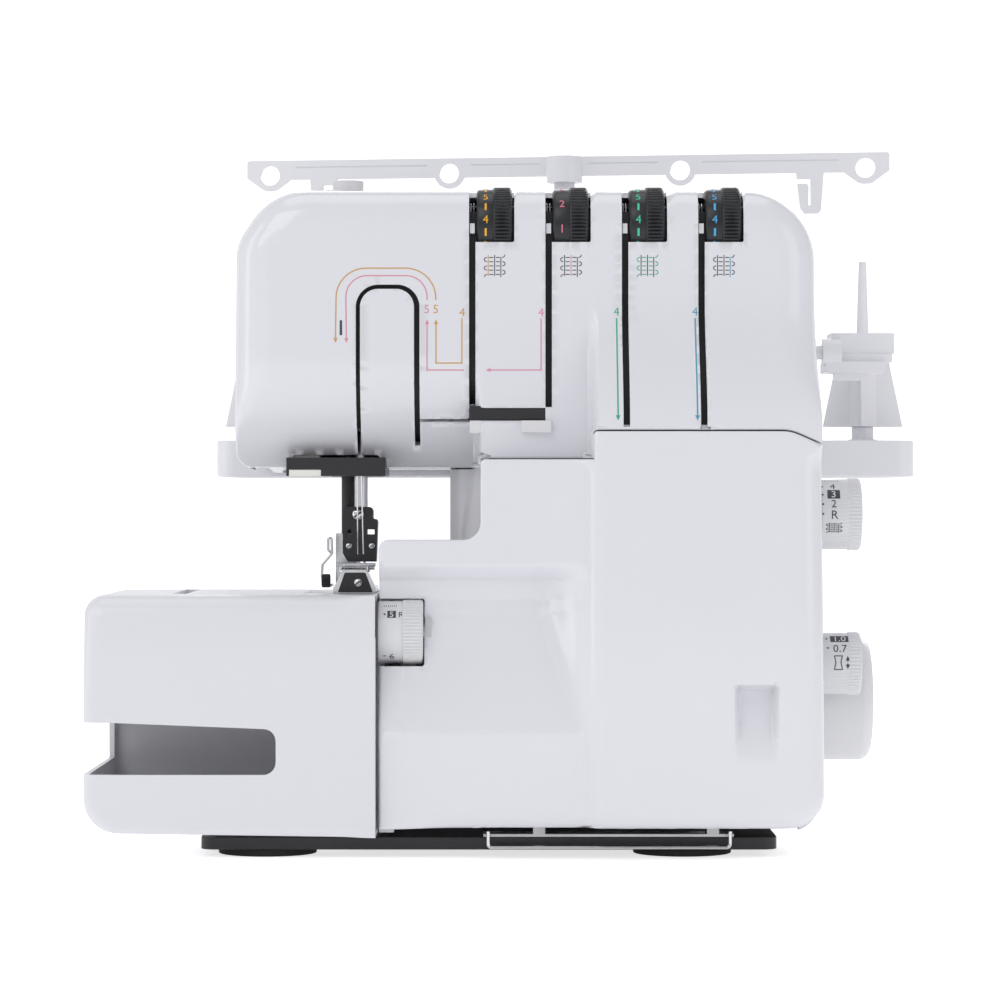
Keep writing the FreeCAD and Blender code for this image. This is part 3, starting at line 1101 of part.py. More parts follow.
def make_cone_holders():
    """Finned cone on each pin's shoulder: four fins on a thin tube, joined by a ring at the top."""
    holders = []
    z0 = TRAY_TOP + PIN_SHOULDER + 0.1
    for x, y in pin_places():
        outer = cone_z(z0, z0 + CONE_H, x, y, CONE_R, CONE_TOP_R)
        for i in range(4):
            turn = math.pi * (i + 0.5) / 2
            pocket = box(x + 2.2, x + 30, y + 2.2, y + 30, z0 - 1, z0 + CONE_H - 4)
            pocket.rotate(V(x, y, 0), V(0, 0, 1), math.degrees(turn) - 45)
            outer = outer.cut(pocket)
        tube = rod_z(z0, z0 + CONE_H, x, y, PIN_R + 1.6)
        holders.append(cut(fuse(outer, tube), rod_z(z0 - 1, z0 + CONE_H + 1, x, y, PIN_NECK_R + 0.1)))
    return Part.makeCompound(holders)


def tree_radii(stage):
    """Outer and inner radius of the telescope's stages, each a running fit in the one below."""
    outer = TREE_R - stage * (TUBE_WALL + FIT)
    return outer, outer - TUBE_WALL


def make_lower_tube():
    outer, inner = tree_radii(0)
    return ring_z(TREE_LOW, LOW_TOP_Z, TREE_X, TREE_Y, outer, inner)


def make_middle_tube():
    outer, inner = tree_radii(1)
    tube = ring_z(TREE_LOW + 2, MID_TOP_Z, TREE_X, TREE_Y, outer, inner)
    collar = ring_z(LOW_TOP_Z + CLEAR, MID_TOP_Z, TREE_X, TREE_Y, TREE_R + 1.5, outer - 0.2)
    return fuse(tube, collar)


def make_upper_rod():
    outer = tree_radii(2)[0]
    rod = rod_z(TREE_LOW + 4, ARM_TOP - ARM_H, TREE_X, TREE_Y, outer)
    collar = rod_z(MID_TOP_Z + CLEAR, MID_TOP_Z + 8, TREE_X, TREE_Y, TREE_R)
    peg = rod_z(ARM_TOP - ARM_H - 1, ARM_TOP - 3, TREE_X, TREE_Y, outer - 1)
    return fuse(rod, collar, peg)


def arm_hook(sign):
    """Hook under the arm, open towards the middle: a stem outside, a free prong inside it."""
    x0 = ARM_HOOK_X
    z0 = ARM_TOP - ARM_H
    points = [(-6.2, 1.0, 0), (-5.8, -2.7, 0), (0.2, -2.7, 0), (0.4, -14.4, 0.4), (-0.8, -14.4, 0.4),
              (-0.6, -4.7, 1), (-5.6, -4.7, 0), (-4.3, -15.7, 0), (-2.4, -18.0, 0), (3.6, -18.0, 0),
              (4.9, -16.6, 0), (6.2, 1.0, 0)]
    return prism_xz([(sign * (x0 + x), z0 + z, r) for x, z, r in points], -ARM_T / 2, ARM_T / 2)


def make_thread_arm():
    """Thread guide arm: a long upright blade with an eye above each spool, turned about the rod."""
    z0 = ARM_TOP - ARM_H
    blade = box(-PIN_REACH[0], PIN_REACH[0], -ARM_T / 2, ARM_T / 2, z0, ARM_TOP)
    eye_z = ARM_TOP - 6.8
    ends = []
    reach = PIN_REACH[0]
    plate = [(reach - 14, z0, 0), (reach - 9.5, z0, 1), (reach - 2.5, ARM_TOP - 13.8, 5),
             (reach + 2.5, ARM_TOP - 13.8, 5), (ARM_HALF, ARM_TOP - 8, 1), (ARM_HALF, ARM_TOP, 1.2),
             (reach - 14, ARM_TOP, 0)]
    for sign in (-1, 1):
        ends.append(prism_xz([(sign * x, z, r) for x, z, r in plate], -ARM_T / 2, ARM_T / 2))
        ends.append(rod_y(-ARM_T / 2, ARM_T / 2, sign * PIN_REACH[1], eye_z, 6.8))
        ends.append(arm_hook(sign))
    hub = rod_z(z0 - 3, ARM_TOP, 0, 0, 8)
    blade = fuse(blade, hub, *ends)
    outer = tree_radii(2)[0]
    holes = [rod_z(z0 - 4, z0, 0, 0, outer + FIT), rod_z(z0 - 1, ARM_TOP - 3 + 0.2, 0, 0, outer - 1 + FIT)]
    for sign in (-1, 1):
        holes += [rod_y(-ARM_T, ARM_T, sign * eye, eye_z, ARM_EYE_R) for eye in PIN_REACH]
        for near, far in ((11, PIN_REACH[1] - 10), (PIN_REACH[1] + 10, reach - 12)):
            left, right = sorted((sign * near, sign * far))
            holes.append(box(left, right, -ARM_T, -ARM_T / 2 + 0.5, ARM_TOP - 3.6, ARM_TOP - 3.0))
    arm = cut(blade, *holes)
    arm.rotate(V(0, 0, 0), V(0, 0, 1), ARM_TURN)
    return moved(arm, x=TREE_X, y=TREE_Y)


def make_casing_screws():
    """Round-headed screws in the back of the rear casing."""
    places = [(HEAD_LEFT + 24, CASE_TOP - 26), (BODY_RIGHT - 30, CASE_TOP - 34), (SPLIT_X + 12, 30.0),
              (BODY_RIGHT - 16, 100.0), (HEAD_LEFT + 24, HEAD_BOTTOM + 18)]
    screws = []
    for x, z in places:
        head = rod_y(CASE_BACK, CASE_BACK + 1.6, x, z, 3.6)
        screws.append(cut(head, box(x - 4, x + 4, CASE_BACK + 0.8, CASE_BACK + 2, z - 0.5, z + 0.5)))
    return Part.makeCompound(screws)


# ---------------------------------------------------------------- assembly
parts["front_casing"] = make_front_casing()
parts["rear_casing"] = make_rear_casing()
parts["free_arm_cover"] = make_free_arm_cover()
parts["front_cover"] = make_front_cover()
parts["cover_hinge_rod"] = make_hinge_rod()
parts["hinge_bracket"] = make_hinge_bracket()
parts["extension_table"] = make_extension_table()
parts["base_plate"] = make_base_plate()
parts["rubber_feet"] = make_feet()
parts["frame_casting"] = make_frame()
parts["bushes"] = make_bushes()
parts["main_shaft"] = make_main_shaft()
parts["drive_pulley"] = make_drive_pulley()
parts["handwheel"] = make_handwheel()
parts["motor_housing"] = make_motor_housing()
parts["motor_rotor"] = make_motor_rotor()
parts["upper_shaft"] = make_upper_shaft()
parts["drive_belt"] = belt_x(DRIVE_X + 2, DRIVE_X + PULLEY_W - 2, (SHAFT_Y, SHAFT_Z, PULLEY_R),
                             (MOTOR_Y, MOTOR_Z, MOTOR_PULLEY_R), 0.3)
parts["timing_belt"] = belt_x(TIMING_X + 2, TIMING_X + PULLEY_W - 2, (SHAFT_Y, SHAFT_Z, TIMING_R),
                              (UPPER_SHAFT_Y, UPPER_SHAFT_Z, TIMING_R), 0.3)
parts["needle_bar"] = make_needle_bar()
parts["needle_clamp"] = make_needle_clamp()
parts["needles"] = make_needles()
parts["presser_bar"] = make_presser_bar()
parts["presser_foot"] = make_presser_foot()
parts["presser_spring"] = make_presser_spring()
parts["pressure_knob"] = make_pressure_knob()
parts["needle_plate"] = make_needle_plate()
parts["lower_knife"] = make_lower_knife()
parts["upper_knife"] = make_upper_knife()
parts["feed_dogs"] = make_feed_dogs()
parts["lower_looper"] = make_lower_looper()
parts["upper_looper"] = make_upper_looper()
parts["looper_carrier"] = make_looper_carrier()
for i, name in enumerate(("left_needle", "right_needle", "upper_looper", "lower_looper")):
    parts["tension_dial_" + name] = make_tension_dial(i)
parts["dial_bracket"] = make_dial_bracket()
parts["tension_discs"] = make_tension_discs()
parts["stitch_length_dial"] = make_side_dial(LENGTH_DIAL_Z, LENGTH_DIAL_R)
parts["differential_feed_dial"] = make_side_dial(FEED_DIAL_Z, FEED_DIAL_R)
parts["dial_pins"] = Part.makeCompound([side_spindle(), width_spindle()])
parts["stitch_width_dial"] = make_width_dial()
parts["thread_guide_block"] = make_guide_block()
parts["thread_guides"] = Part.makeCompound([guide_plate()] + channel_guides())
parts["rear_thread_guide"] = make_rear_guide()
parts["lifter_lever"] = make_lifter_lever()
parts["head_plate"] = make_head_plate()
parts["lamp"] = make_lamp()
parts["power_panel"] = Part.makeCompound([power_inlet(), switch_frame()])
parts["power_switch"] = make_power_switch()
parts["spool_tray"] = make_tray()
parts["tray_bracket"] = make_tray_bracket()
parts["spool_pins"] = make_spool_pins()
parts["cone_holders"] = make_cone_holders()
parts["tree_lower_tube"] = make_lower_tube()
parts["tree_middle_tube"] = make_middle_tube()
parts["tree_upper_rod"] = make_upper_rod()
parts["thread_arm"] = make_thread_arm()
parts["casing_screws"] = make_casing_screws()

for name, shape in parts.items():
    shape.exportStep("parts/" + name + ".step")
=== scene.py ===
"""Looks of a four-thread overlock sewing machine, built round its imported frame.

Lengths in this script are millimetres, and `build` turns them into Blender's metres. The front of
the machine faces -Y. Most shells are one relief: a flat outline whose face is a depth function of
its two coordinates, with a rounded rim along the outline and a wall that goes back from it.
"""

import json
import math

import bmesh
import bpy
import numpy as np
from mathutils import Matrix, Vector, geometry

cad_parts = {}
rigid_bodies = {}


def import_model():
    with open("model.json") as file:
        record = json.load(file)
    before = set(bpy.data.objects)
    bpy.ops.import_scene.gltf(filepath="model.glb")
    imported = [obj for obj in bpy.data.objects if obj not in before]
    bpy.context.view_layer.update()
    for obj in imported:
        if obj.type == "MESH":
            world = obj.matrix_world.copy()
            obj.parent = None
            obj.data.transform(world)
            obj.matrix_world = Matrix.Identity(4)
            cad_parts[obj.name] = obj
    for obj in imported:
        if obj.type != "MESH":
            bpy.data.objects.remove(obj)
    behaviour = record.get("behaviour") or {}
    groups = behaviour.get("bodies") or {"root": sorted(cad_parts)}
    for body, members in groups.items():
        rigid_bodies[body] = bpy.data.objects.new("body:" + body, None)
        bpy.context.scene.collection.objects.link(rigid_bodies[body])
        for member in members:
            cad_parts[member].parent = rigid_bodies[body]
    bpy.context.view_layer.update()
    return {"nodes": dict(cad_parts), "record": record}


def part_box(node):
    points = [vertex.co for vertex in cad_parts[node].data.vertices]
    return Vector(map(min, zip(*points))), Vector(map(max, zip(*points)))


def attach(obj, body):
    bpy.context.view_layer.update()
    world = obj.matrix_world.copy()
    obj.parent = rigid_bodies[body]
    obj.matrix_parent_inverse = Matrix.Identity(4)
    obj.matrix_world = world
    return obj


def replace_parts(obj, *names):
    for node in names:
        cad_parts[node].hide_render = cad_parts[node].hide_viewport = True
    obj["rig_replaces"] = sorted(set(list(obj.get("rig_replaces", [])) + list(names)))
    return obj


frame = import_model()

MM = 0.001
RECORD = frame["record"]
BODY_OF = {node: body for body, nodes in RECORD["behaviour"]["bodies"].items() for node in nodes}
SLOT_OF = {part["node"]: part["material_slot"] for part in RECORD["subparts"]}


def span(node):
    """Lowest and highest corner of a CAD node, in millimetres."""
    low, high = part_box(node)
    return np.array(low) / MM, np.array(high) / MM


# ---------------------------------------------------------------- places read from the frame
CASE_LOW, CASE_HIGH = span("front_casing")
COVER_LOW, COVER_HIGH = span("front_cover")
TABLE_LOW, TABLE_HIGH = span("extension_table")
ARM_LOW, ARM_HIGH = span("free_arm_cover")
FRONT = COVER_LOW[1]
HEAD_FRONT = FRONT + 25.0
SEAM_Y = CASE_HIGH[1]
HEAD_LEFT = CASE_LOW[0]
RIGHT = CASE_HIGH[0]
TOP = CASE_HIGH[2]
HEAD_BOTTOM = CASE_LOW[2]
SPLIT_X = COVER_LOW[0]
COLUMN_X = SPLIT_X + 40.5
BULGE_X = COLUMN_X + 45.0
MID_TOP = HEAD_BOTTOM + 3.5
COVER_TOP = COVER_HIGH[2] + 0.5
TOP_EDGE_R = 14.0
TENSION = ("left_needle", "right_needle", "upper_looper", "lower_looper")
DIALS = [np.mean(span("tension_dial_" + name), axis=0) for name in TENSION]
DIAL_R = (span("tension_dial_left_needle")[1][2] - span("tension_dial_left_needle")[0][2]) / 2
NEEDLE_X = np.mean(span("needles"), axis=0)[0]
WIDTH_DIAL_X = span("stitch_width_dial")[1][0]
WIDTH_DIAL_R = (span("stitch_width_dial")[1][2] - span("stitch_width_dial")[0][2]) / 2
CHANNEL_W = 2.6
CHANNELS = [dial[0] - 8.9 for dial in DIALS]
ARCH_LEFT = SPLIT_X - 9.7
ARCH_RIGHT = SPLIT_X + 15.9
ARCH_TOP = TOP - 38.7
SLOT_W = 1.7
GAP_Z = COVER_TOP + 4.3


# ---------------------------------------------------------------- camera, light and floor
def set_camera():
    data = bpy.data.cameras.new("camera")
    data.sensor_width = 36.0
    data.lens = 136.7
    camera = bpy.data.objects.new("camera", data)
    camera.location = (-0.0085, -1.641, 0.1438)
    camera.rotation_euler = (math.radians(90), 0, 0)
    bpy.context.scene.collection.objects.link(camera)
    bpy.context.scene.camera = camera


def soft_light(name, place, aim, size, power):
    """Square area light at place, turned to face aim."""
    data = bpy.data.lights.new(name, "AREA")
    data.shape = "RECTANGLE"
    data.size, data.size_y = size
    data.energy = power
    light = bpy.data.objects.new(name, data)
    light.location = place
    light.rotation_euler = (Vector(aim) - Vector(place)).to_track_quat("-Z", "Y").to_euler()
    bpy.context.scene.collection.objects.link(light)


def light_studio():
    soft_light("key", (-1.0, -1.5, 1.5), (0, 0, 0.15), (1.2, 1.2), 7)
    soft_light("fill", (1.5, -1.3, 0.7), (0, 0, 0.15), (1.0, 1.4), 3.2)
    soft_light("strip", (-1.2, -0.3, 0.45), (0, -0.1, 0.15), (0.35, 1.2), 1.6)
    soft_light("top", (0, 0.1, 1.9), (0, 0, 0), (1.6, 1.2), 6)
    soft_light("rear", (0.4, 1.9, 1.0), (0, 0, 0.2), (1.4, 1.0), 9)
    world = bpy.data.worlds.new("studio")
    world.use_nodes = True
    background = world.node_tree.nodes["Background"]
    background.inputs["Color"].default_value = (0.95, 0.96, 1.0, 1)
    background.inputs["Strength"].default_value = 0.55
    bpy.context.scene.world = world
    bpy.context.scene.view_settings.view_transform = "Standard"


# ---------------------------------------------------------------- shader maths
class Wire:
    """An output socket. Arithmetic on it adds the Math nodes that the expression needs."""

    def __init__(self, finish, socket):
        self.finish = finish
        self.socket = socket

    def maths(self, operation, *values):
        return self.finish.node("ShaderNodeMath", {"operation": operation}, dict(enumerate(values)))

    def __add__(self, other):
        return self.maths("ADD", self, other)

    def __radd__(self, other):
        return self.maths("ADD", other, self)

    def __sub__(self, other):
        return self.maths("SUBTRACT", self, other)

    def __rsub__(self, other):
        return self.maths("SUBTRACT", other, self)

    def __mul__(self, other):
        return self.maths("MULTIPLY", self, other)

    def __rmul__(self, other):
        return self.maths("MULTIPLY", other, self)

    def __pow__(self, other):
        return self.maths("POWER", self, other)


class Finish:
    """A material under construction on one Principled shader."""

    def __init__(self, name):
        self.material = bpy.data.materials.new(name)
        self.material.use_nodes = True
        self.tree = self.material.node_tree
        self.shader = self.tree.nodes["Principled BSDF"]

    def node(self, kind, settings=None, sockets=None, output=0):
        """Adds a node of that kind: its settings first, then values or wires on its sockets."""
        node = self.tree.nodes.new(kind)
        for key, value in (settings or {}).items():
            setattr(node, key, value)
        for key, value in (sockets or {}).items():
            self.feed(node.inputs[key], value)
        return Wire(self, node.outputs[output])

    def feed(self, socket, value):
        if isinstance(value, Wire):
            self.tree.links.new(value.socket, socket)
        else:
            socket.default_value = value

    def set(self, **values):
        """Feeds sockets of the shader, named with spaces as underscores."""
        for key, value in values.items():
            self.feed(self.shader.inputs[key.replace("_", " ")], value)

    def place(self):
        return self.node("ShaderNodeTexCoord", output=3)

    def noise(self, scale, detail=3.0, stretch=None):
        """Noise between 0 and 1 in object space, `scale` lumps to the metre, stretched along an axis."""
        where = self.place()
        if stretch:
            where = self.node("ShaderNodeMapping", {}, {"Vector": where, "Scale": stretch})
        return self.node("ShaderNodeTexNoise", {}, {"Vector": where, "Scale": scale, "Detail": detail})

    def blend(self, factor, first, second):
        """Colour between first and second."""
        return self.node("ShaderNodeMix", {"data_type": "RGBA"}, {0: factor, 6: first, 7: second}, 2)

    def spread(self, wire, low, high):
        """The part of wire between low and high, stretched to 0..1."""
        return self.node("ShaderNodeMapRange", {}, {0: wire, 1: low, 2: high})

    def relief(self, height, distance, strength=1.0):
        self.set(Normal=self.node("ShaderNodeBump", {}, {"Height": height, "Distance": distance,
                                                          "Strength": strength}))


def shade(colour, factor):
    return tuple(min(1.0, c * factor) for c in colour[:3]) + (1.0,)


def moulded(name, colour, roughness, grain=0.00002, coat=0.0):
    """Injection-moulded plastic: faint flow marks, orange-peel skin and a trace of handling haze."""
    finish = Finish(name)
    flow = finish.noise(9.0, 2.0, (1.0, 1.0, 0.4))
    haze = finish.noise(45.0, 4.0)
    skin = finish.noise(900.0, 2.0)
    finish.set(Base_Color=finish.blend(flow, shade(colour, 0.975), shade(colour, 1.01)),
               Roughness=roughness + 0.03 * haze, IOR=1.5)
    if coat:
        finish.set(Coat_Weight=coat, Coat_Roughness=0.06)
    finish.relief(skin, grain)
    return finish.material


def textured(name, colour, roughness, lumps=2600.0, depth=0.00006):
    """Spark-eroded plastic: a fine even grain over the whole surface, polished a little where it rubs."""
    finish = Finish(name)
    grain = finish.noise(lumps, 2.0)
    wear = finish.noise(30.0, 4.0)
    finish.set(Base_Color=finish.blend(wear, shade(colour, 0.92), shade(colour, 1.08)),
               Roughness=roughness - 0.12 * finish.spread(wear, 0.5, 0.8), IOR=1.5)
    finish.relief(grain, depth)
    return finish.material


def brushed(name, colour, roughness, stretch=(1.0, 1.0, 0.04), scale=900.0, depth=0.000008):
    """Metal with fine drawn lines along one axis and faint smudges."""
    finish = Finish(name)
    lines = finish.noise(scale, 3.0, stretch)
    smudge = finish.noise(60.0, 4.0)
    finish.set(Base_Color=finish.blend(lines, shade(colour, 0.88), shade(colour, 1.06)), Metallic=1.0,
               Roughness=roughness + 0.12 * lines + 0.10 * finish.spread(smudge, 0.45, 0.8))
    finish.relief(lines, depth)
    return finish.material


def cast(name, colour, roughness, lumps=420.0, depth=0.00012):
    """Die-cast metal: matt, pitted skin with darker hollows."""
    finish = Finish(name)
    pits = finish.noise(lumps, 5.0)
    finish.set(Base_Color=finish.blend(finish.spread(pits, 0.3, 0.7), shade(colour, 0.8), colour + (1,)),
               Metallic=0.85, Roughness=roughness + 0.15 * pits)
    finish.relief(pits, depth)
    return finish.material


def ink(name, colour):
    """Pad-printed paint: satin, slightly uneven in cover."""
    finish = Finish(name)
    cover = finish.noise(1500.0, 3.0)
    finish.set(Base_Color=finish.blend(cover, shade(colour, 0.93), shade(colour, 1.05)),
               Roughness=0.38 + 0.1 * cover)
    return finish.material


WHITE = (0.80, 0.80, 0.835)
FINISHES = {
    "casing": moulded("casing_plastic", WHITE, 0.13, coat=0.35),
    "casing_rear": moulded("rear_plastic", (0.77, 0.77, 0.80), 0.20, grain=0.00003),
    "cover": moulded("cover_plastic", (0.815, 0.815, 0.85), 0.13, coat=0.35),
    "table": moulded("table_plastic", (0.80, 0.80, 0.83), 0.20, grain=0.00003),
    "stand_plastic": moulded("stand_plastic", (0.85, 0.85, 0.87), 0.30, grain=0.00004),
    "tube_plastic": moulded("tube_plastic", (0.68, 0.68, 0.70), 0.35, grain=0.00004),
    "dial_white": moulded("dial_plastic", (0.78, 0.78, 0.79), 0.28, grain=0.00003),
    "black_plastic": textured("black_plastic", (0.018, 0.018, 0.021), 0.42),
    "dial_black": textured("dial_black_plastic", (0.014, 0.015, 0.018), 0.30, depth=0.00003),
    "black_metal": textured("blackened_steel", (0.022, 0.022, 0.025), 0.36, 1400.0, 0.00003),
    "steel": brushed("drawn_steel", (0.60, 0.60, 0.61), 0.26),
    "chrome": brushed("chromed_steel", (0.80, 0.80, 0.81), 0.10, depth=0.000003),
    "knife_steel": brushed("ground_steel", (0.66, 0.66, 0.68), 0.20, (0.04, 1.0, 1.0)),
    "cast_aluminium": cast("die_cast_aluminium", (0.55, 0.55, 0.56), 0.42),
    "sintered_bronze": cast("sintered_bronze", (0.46, 0.30, 0.14), 0.45, 1500.0, 0.00004),
    "motor_can": brushed("plated_can", (0.50, 0.50, 0.48), 0.32, (0.04, 1.0, 1.0)),
    "rubber": textured("moulded_rubber", (0.022, 0.022, 0.022), 0.75, 1500.0, 0.0001),
    "belt": textured("belt_rubber", (0.03, 0.03, 0.03), 0.68, 3200.0, 0.0001),
    "lamp_lens": moulded("frosted_lens", (0.85, 0.84, 0.78), 0.35, grain=0.00008),
}
INKS = {
    "white": ink("white_print", (0.80, 0.80, 0.82)),
    "grey": ink("grey_print", (0.06, 0.06, 0.075)),
    "orange": ink("orange_print", (0.62, 0.36, 0.10)),
    "pink": ink("pink_print", (0.72, 0.30, 0.40)),
    "green": ink("green_print", (0.06, 0.42, 0.24)),
    "blue": ink("blue_print", (0.10, 0.34, 0.48)),
    "bright_orange": ink("bright_orange_print", (0.85, 0.42, 0.03)),
    "bright_pink": ink("bright_pink_print", (0.80, 0.20, 0.30)),
    "bright_green": ink("bright_green_print", (0.05, 0.62, 0.34)),
    "bright_blue": ink("bright_blue_print", (0.08, 0.42, 0.75)),
}


# ---------------------------------------------------------------- building pieces
def build(name, points, faces, slot, body, replaces=(), material=None, corner=32.0, weld=True):
    """Mesh piece from points in millimetres; it rides on a body and may stand for CAD nodes."""
    mesh = bpy.data.meshes.new(name)
    mesh.from_pydata((np.asarray(points, float).reshape(-1, 3) * MM).tolist(), [],
                     [list(map(int, face)) for face in faces])
    if weld:
        work = bmesh.new()
        work.from_mesh(mesh)
        bmesh.ops.remove_doubles(work, verts=work.verts, dist=0.00001)
        bmesh.ops.dissolve_degenerate(work, edges=work.edges, dist=0.000002)
        bmesh.ops.delete(work, geom=[vert for vert in work.verts if not vert.link_faces], context="VERTS")
        work.to_mesh(mesh)
        work.free()
    piece = bpy.data.objects.new(name, mesh)
    bpy.context.scene.collection.objects.link(piece)
    mesh.materials.append(material or FINISHES[slot])
    polish(mesh, corner)
    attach(piece, body)
    if replaces:
        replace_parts(piece, *replaces)
    return piece


def polish(mesh, corner):
    """Smooth shading, with edges sharper than `corner` degrees left crisp."""
    mesh.polygons.foreach_set("use_smooth", np.ones(len(mesh.polygons), bool))
    mesh.set_sharp_from_angle(angle=math.radians(corner))


def settle(piece, corner=32.0):
    """Applies the modifiers of a piece to its mesh, and keeps the normals that they weighted."""
    weighted = "normals" in piece.modifiers
    graph = bpy.context.evaluated_depsgraph_get()
    mesh = bpy.data.meshes.new_from_object(piece.evaluated_get(graph))
    piece.modifiers.clear()
    old = piece.data
    mesh.name = piece.name
    piece.data = mesh
    bpy.data.meshes.remove(old)
    if not weighted:
        polish(mesh, corner)
    return piece


def thicken(piece, wall, edge=0.35, corner=32.0):
    """Gives a skin its wall, inwards, and rounds the wall's free edges."""
    solid = piece.modifiers.new("wall", "SOLIDIFY")
    solid.thickness = wall * MM
    solid.offset = -1.0
    round_edges(piece, edge, angle=50.0)
    return settle(piece, corner)


def round_edges(piece, width, angle=35.0, segments=2):
    bevel = piece.modifiers.new("edges", "BEVEL")
    bevel.width = width * MM
    bevel.segments = segments
    bevel.limit_method = "ANGLE"
    bevel.angle_limit = math.radians(angle)
    bevel.use_clamp_overlap = True
    normals = piece.modifiers.new("normals", "WEIGHTED_NORMAL")
    normals.keep_sharp = True


def softened(node, width=0.4, material=None, angle=35.0):
    """Copy of a CAD node with its flat faces joined and its edges rounded; it stands for the node."""
    source = frame["nodes"][node]
    mesh = source.data.copy()
    work = bmesh.new()
    work.from_mesh(mesh)
    bmesh.ops.remove_doubles(work, verts=work.verts, dist=0.000005)
    bmesh.ops.dissolve_limit(work, angle_limit=math.radians(0.6), verts=work.verts, edges=work.edges)
    work.to_mesh(mesh)
    work.free()
    mesh.materials.clear()
    mesh.materials.append(material or FINISHES[SLOT_OF[node]])
    piece = bpy.data.objects.new(node + "_rounded", mesh)
    bpy.context.scene.collection.objects.link(piece)
    mesh.polygons.foreach_set("use_smooth", np.ones(len(mesh.polygons), bool))
    round_edges(piece, width, angle)
    settle(piece)
    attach(piece, BODY_OF[node])
    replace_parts(piece, node)
    return piece


def grid_faces(rows, columns, round_rows=False, round_columns=False):
    """Quads of a rows x columns grid of points, closed on itself where asked."""
    last_row = rows if round_rows else rows - 1
    last_column = columns if round_columns else columns - 1
    i, j = np.meshgrid(np.arange(last_row), np.arange(last_column), indexing="ij")
    i2 = (i + 1) % rows
    j2 = (j + 1) % columns
    quads = np.stack([i * columns + j, i * columns + j2, i2 * columns + j2, i2 * columns + j], -1)
    return quads.reshape(-1, 4)


def arc_points(corners, step=3.0, closed=True):
    """Points through (u, v, radius) corners: straight runs, and a tangent arc at each corner."""
    spots = np.array([c[:2] for c in corners], float)
    count = len(spots)
    path = []
    for i, spot in enumerate(spots):
        radius = corners[i][2]
        if radius <= 0 or (not closed and i in (0, count - 1)):
            path.append(spot[None])
            continue
        before = spots[i - 1] - spot
        after = spots[(i + 1) % count] - spot
        before /= np.linalg.norm(before)
        after /= np.linalg.norm(after)
        half = math.acos(np.clip(before @ after, -1, 1)) / 2
        middle = before + after
        middle /= np.linalg.norm(middle)
        centre = spot + middle * radius / math.sin(half)
        start = spot + before * radius / math.tan(half) - centre
        turn = math.pi - 2 * half
        if start[0] * -middle[1] + start[1] * middle[0] < 0:
            turn = -turn
        t = np.linspace(0, turn, max(4, int(abs(math.degrees(turn)) / 7) + 2))
        cos, sin = np.cos(t), np.sin(t)
        path.append(centre + np.stack([start[0] * cos - start[1] * sin, start[0] * sin + start[1] * cos],
                                      -1))
    runs = []
    for i, piece in enumerate(path):
        runs.append(piece)
        if closed or i < count - 1:
            a, b = piece[-1], path[(i + 1) % count][0]
            pieces = int(np.linalg.norm(b - a) / step)
            if pieces > 1:
                t = np.linspace(0, 1, pieces + 1)[1:-1, None]
                runs.append(a + (b - a) * t)
    points = np.concatenate(runs)
    follow = np.roll(points, -1, 0) if closed else np.concatenate([points[1:], points[-1:] + 1])
    return points[np.linalg.norm(follow - points, axis=1) > 1e-4]


def turning(points):
    """Twice the signed area of a closed outline; positive when it runs counter-clockwise."""
    ahead = np.roll(points, -1, 0)
    return float(np.sum(points[:, 0] * ahead[:, 1] - ahead[:, 0] * points[:, 1]))


def inside(points, loop):
    """Which points lie inside a closed loop, by counting the edges that a ray along +u crosses."""
    ahead = np.roll(loop, -1, 0)
    u, v = points[:, :1], points[:, 1:]
    spans = (loop[:, 1] > v) != (ahead[:, 1] > v)
    rise = np.where(ahead[:, 1] == loop[:, 1], 1e-9, ahead[:, 1] - loop[:, 1])
    meet = loop[:, 0] + (v - loop[:, 1]) * (ahead[:, 0] - loop[:, 0]) / rise
    return np.sum(spans & (u < meet), axis=1) % 2 == 1


def crossings(loop, cuts):
    """The loop with a point added wherever an edge of a cut crosses it."""
    ahead = np.roll(loop, -1, 0)
    extra = []
    for cut in cuts:
        c, d = cut, np.roll(cut, -1, 0)
        r = (ahead - loop)[:, None]
        s = (d - c)[None]
        gap = c[None] - loop[:, None]
        cross = r[..., 0] * s[..., 1] - r[..., 1] * s[..., 0]
        cross = np.where(abs(cross) < 1e-9, 1e-9, cross)
        t = (gap[..., 0] * s[..., 1] - gap[..., 1] * s[..., 0]) / cross
        w = (gap[..., 0] * r[..., 1] - gap[..., 1] * r[..., 0]) / cross
        for i, j in zip(*np.nonzero((t > 1e-4) & (t < 1 - 1e-4) & (w > 0) & (w < 1))):
            extra.append((i + t[i, j], loop[i] + t[i, j] * (ahead[i] - loop[i])))
    keyed = [(float(i), p) for i, p in enumerate(loop)] + extra
    keyed.sort(key=lambda item: item[0])
    return np.array([p for _, p in keyed])


FACINGS = {
    "front": lambda u, v, d: (u, d, v),
    "back": lambda u, v, d: (-u, -d, v),
    "top": lambda u, v, d: (u, v, -d),
    "bottom": lambda u, v, d: (-u, v, d),
    "right": lambda u, v, d: (-d, u, v),
    "left": lambda u, v, d: (d, -u, v),
}


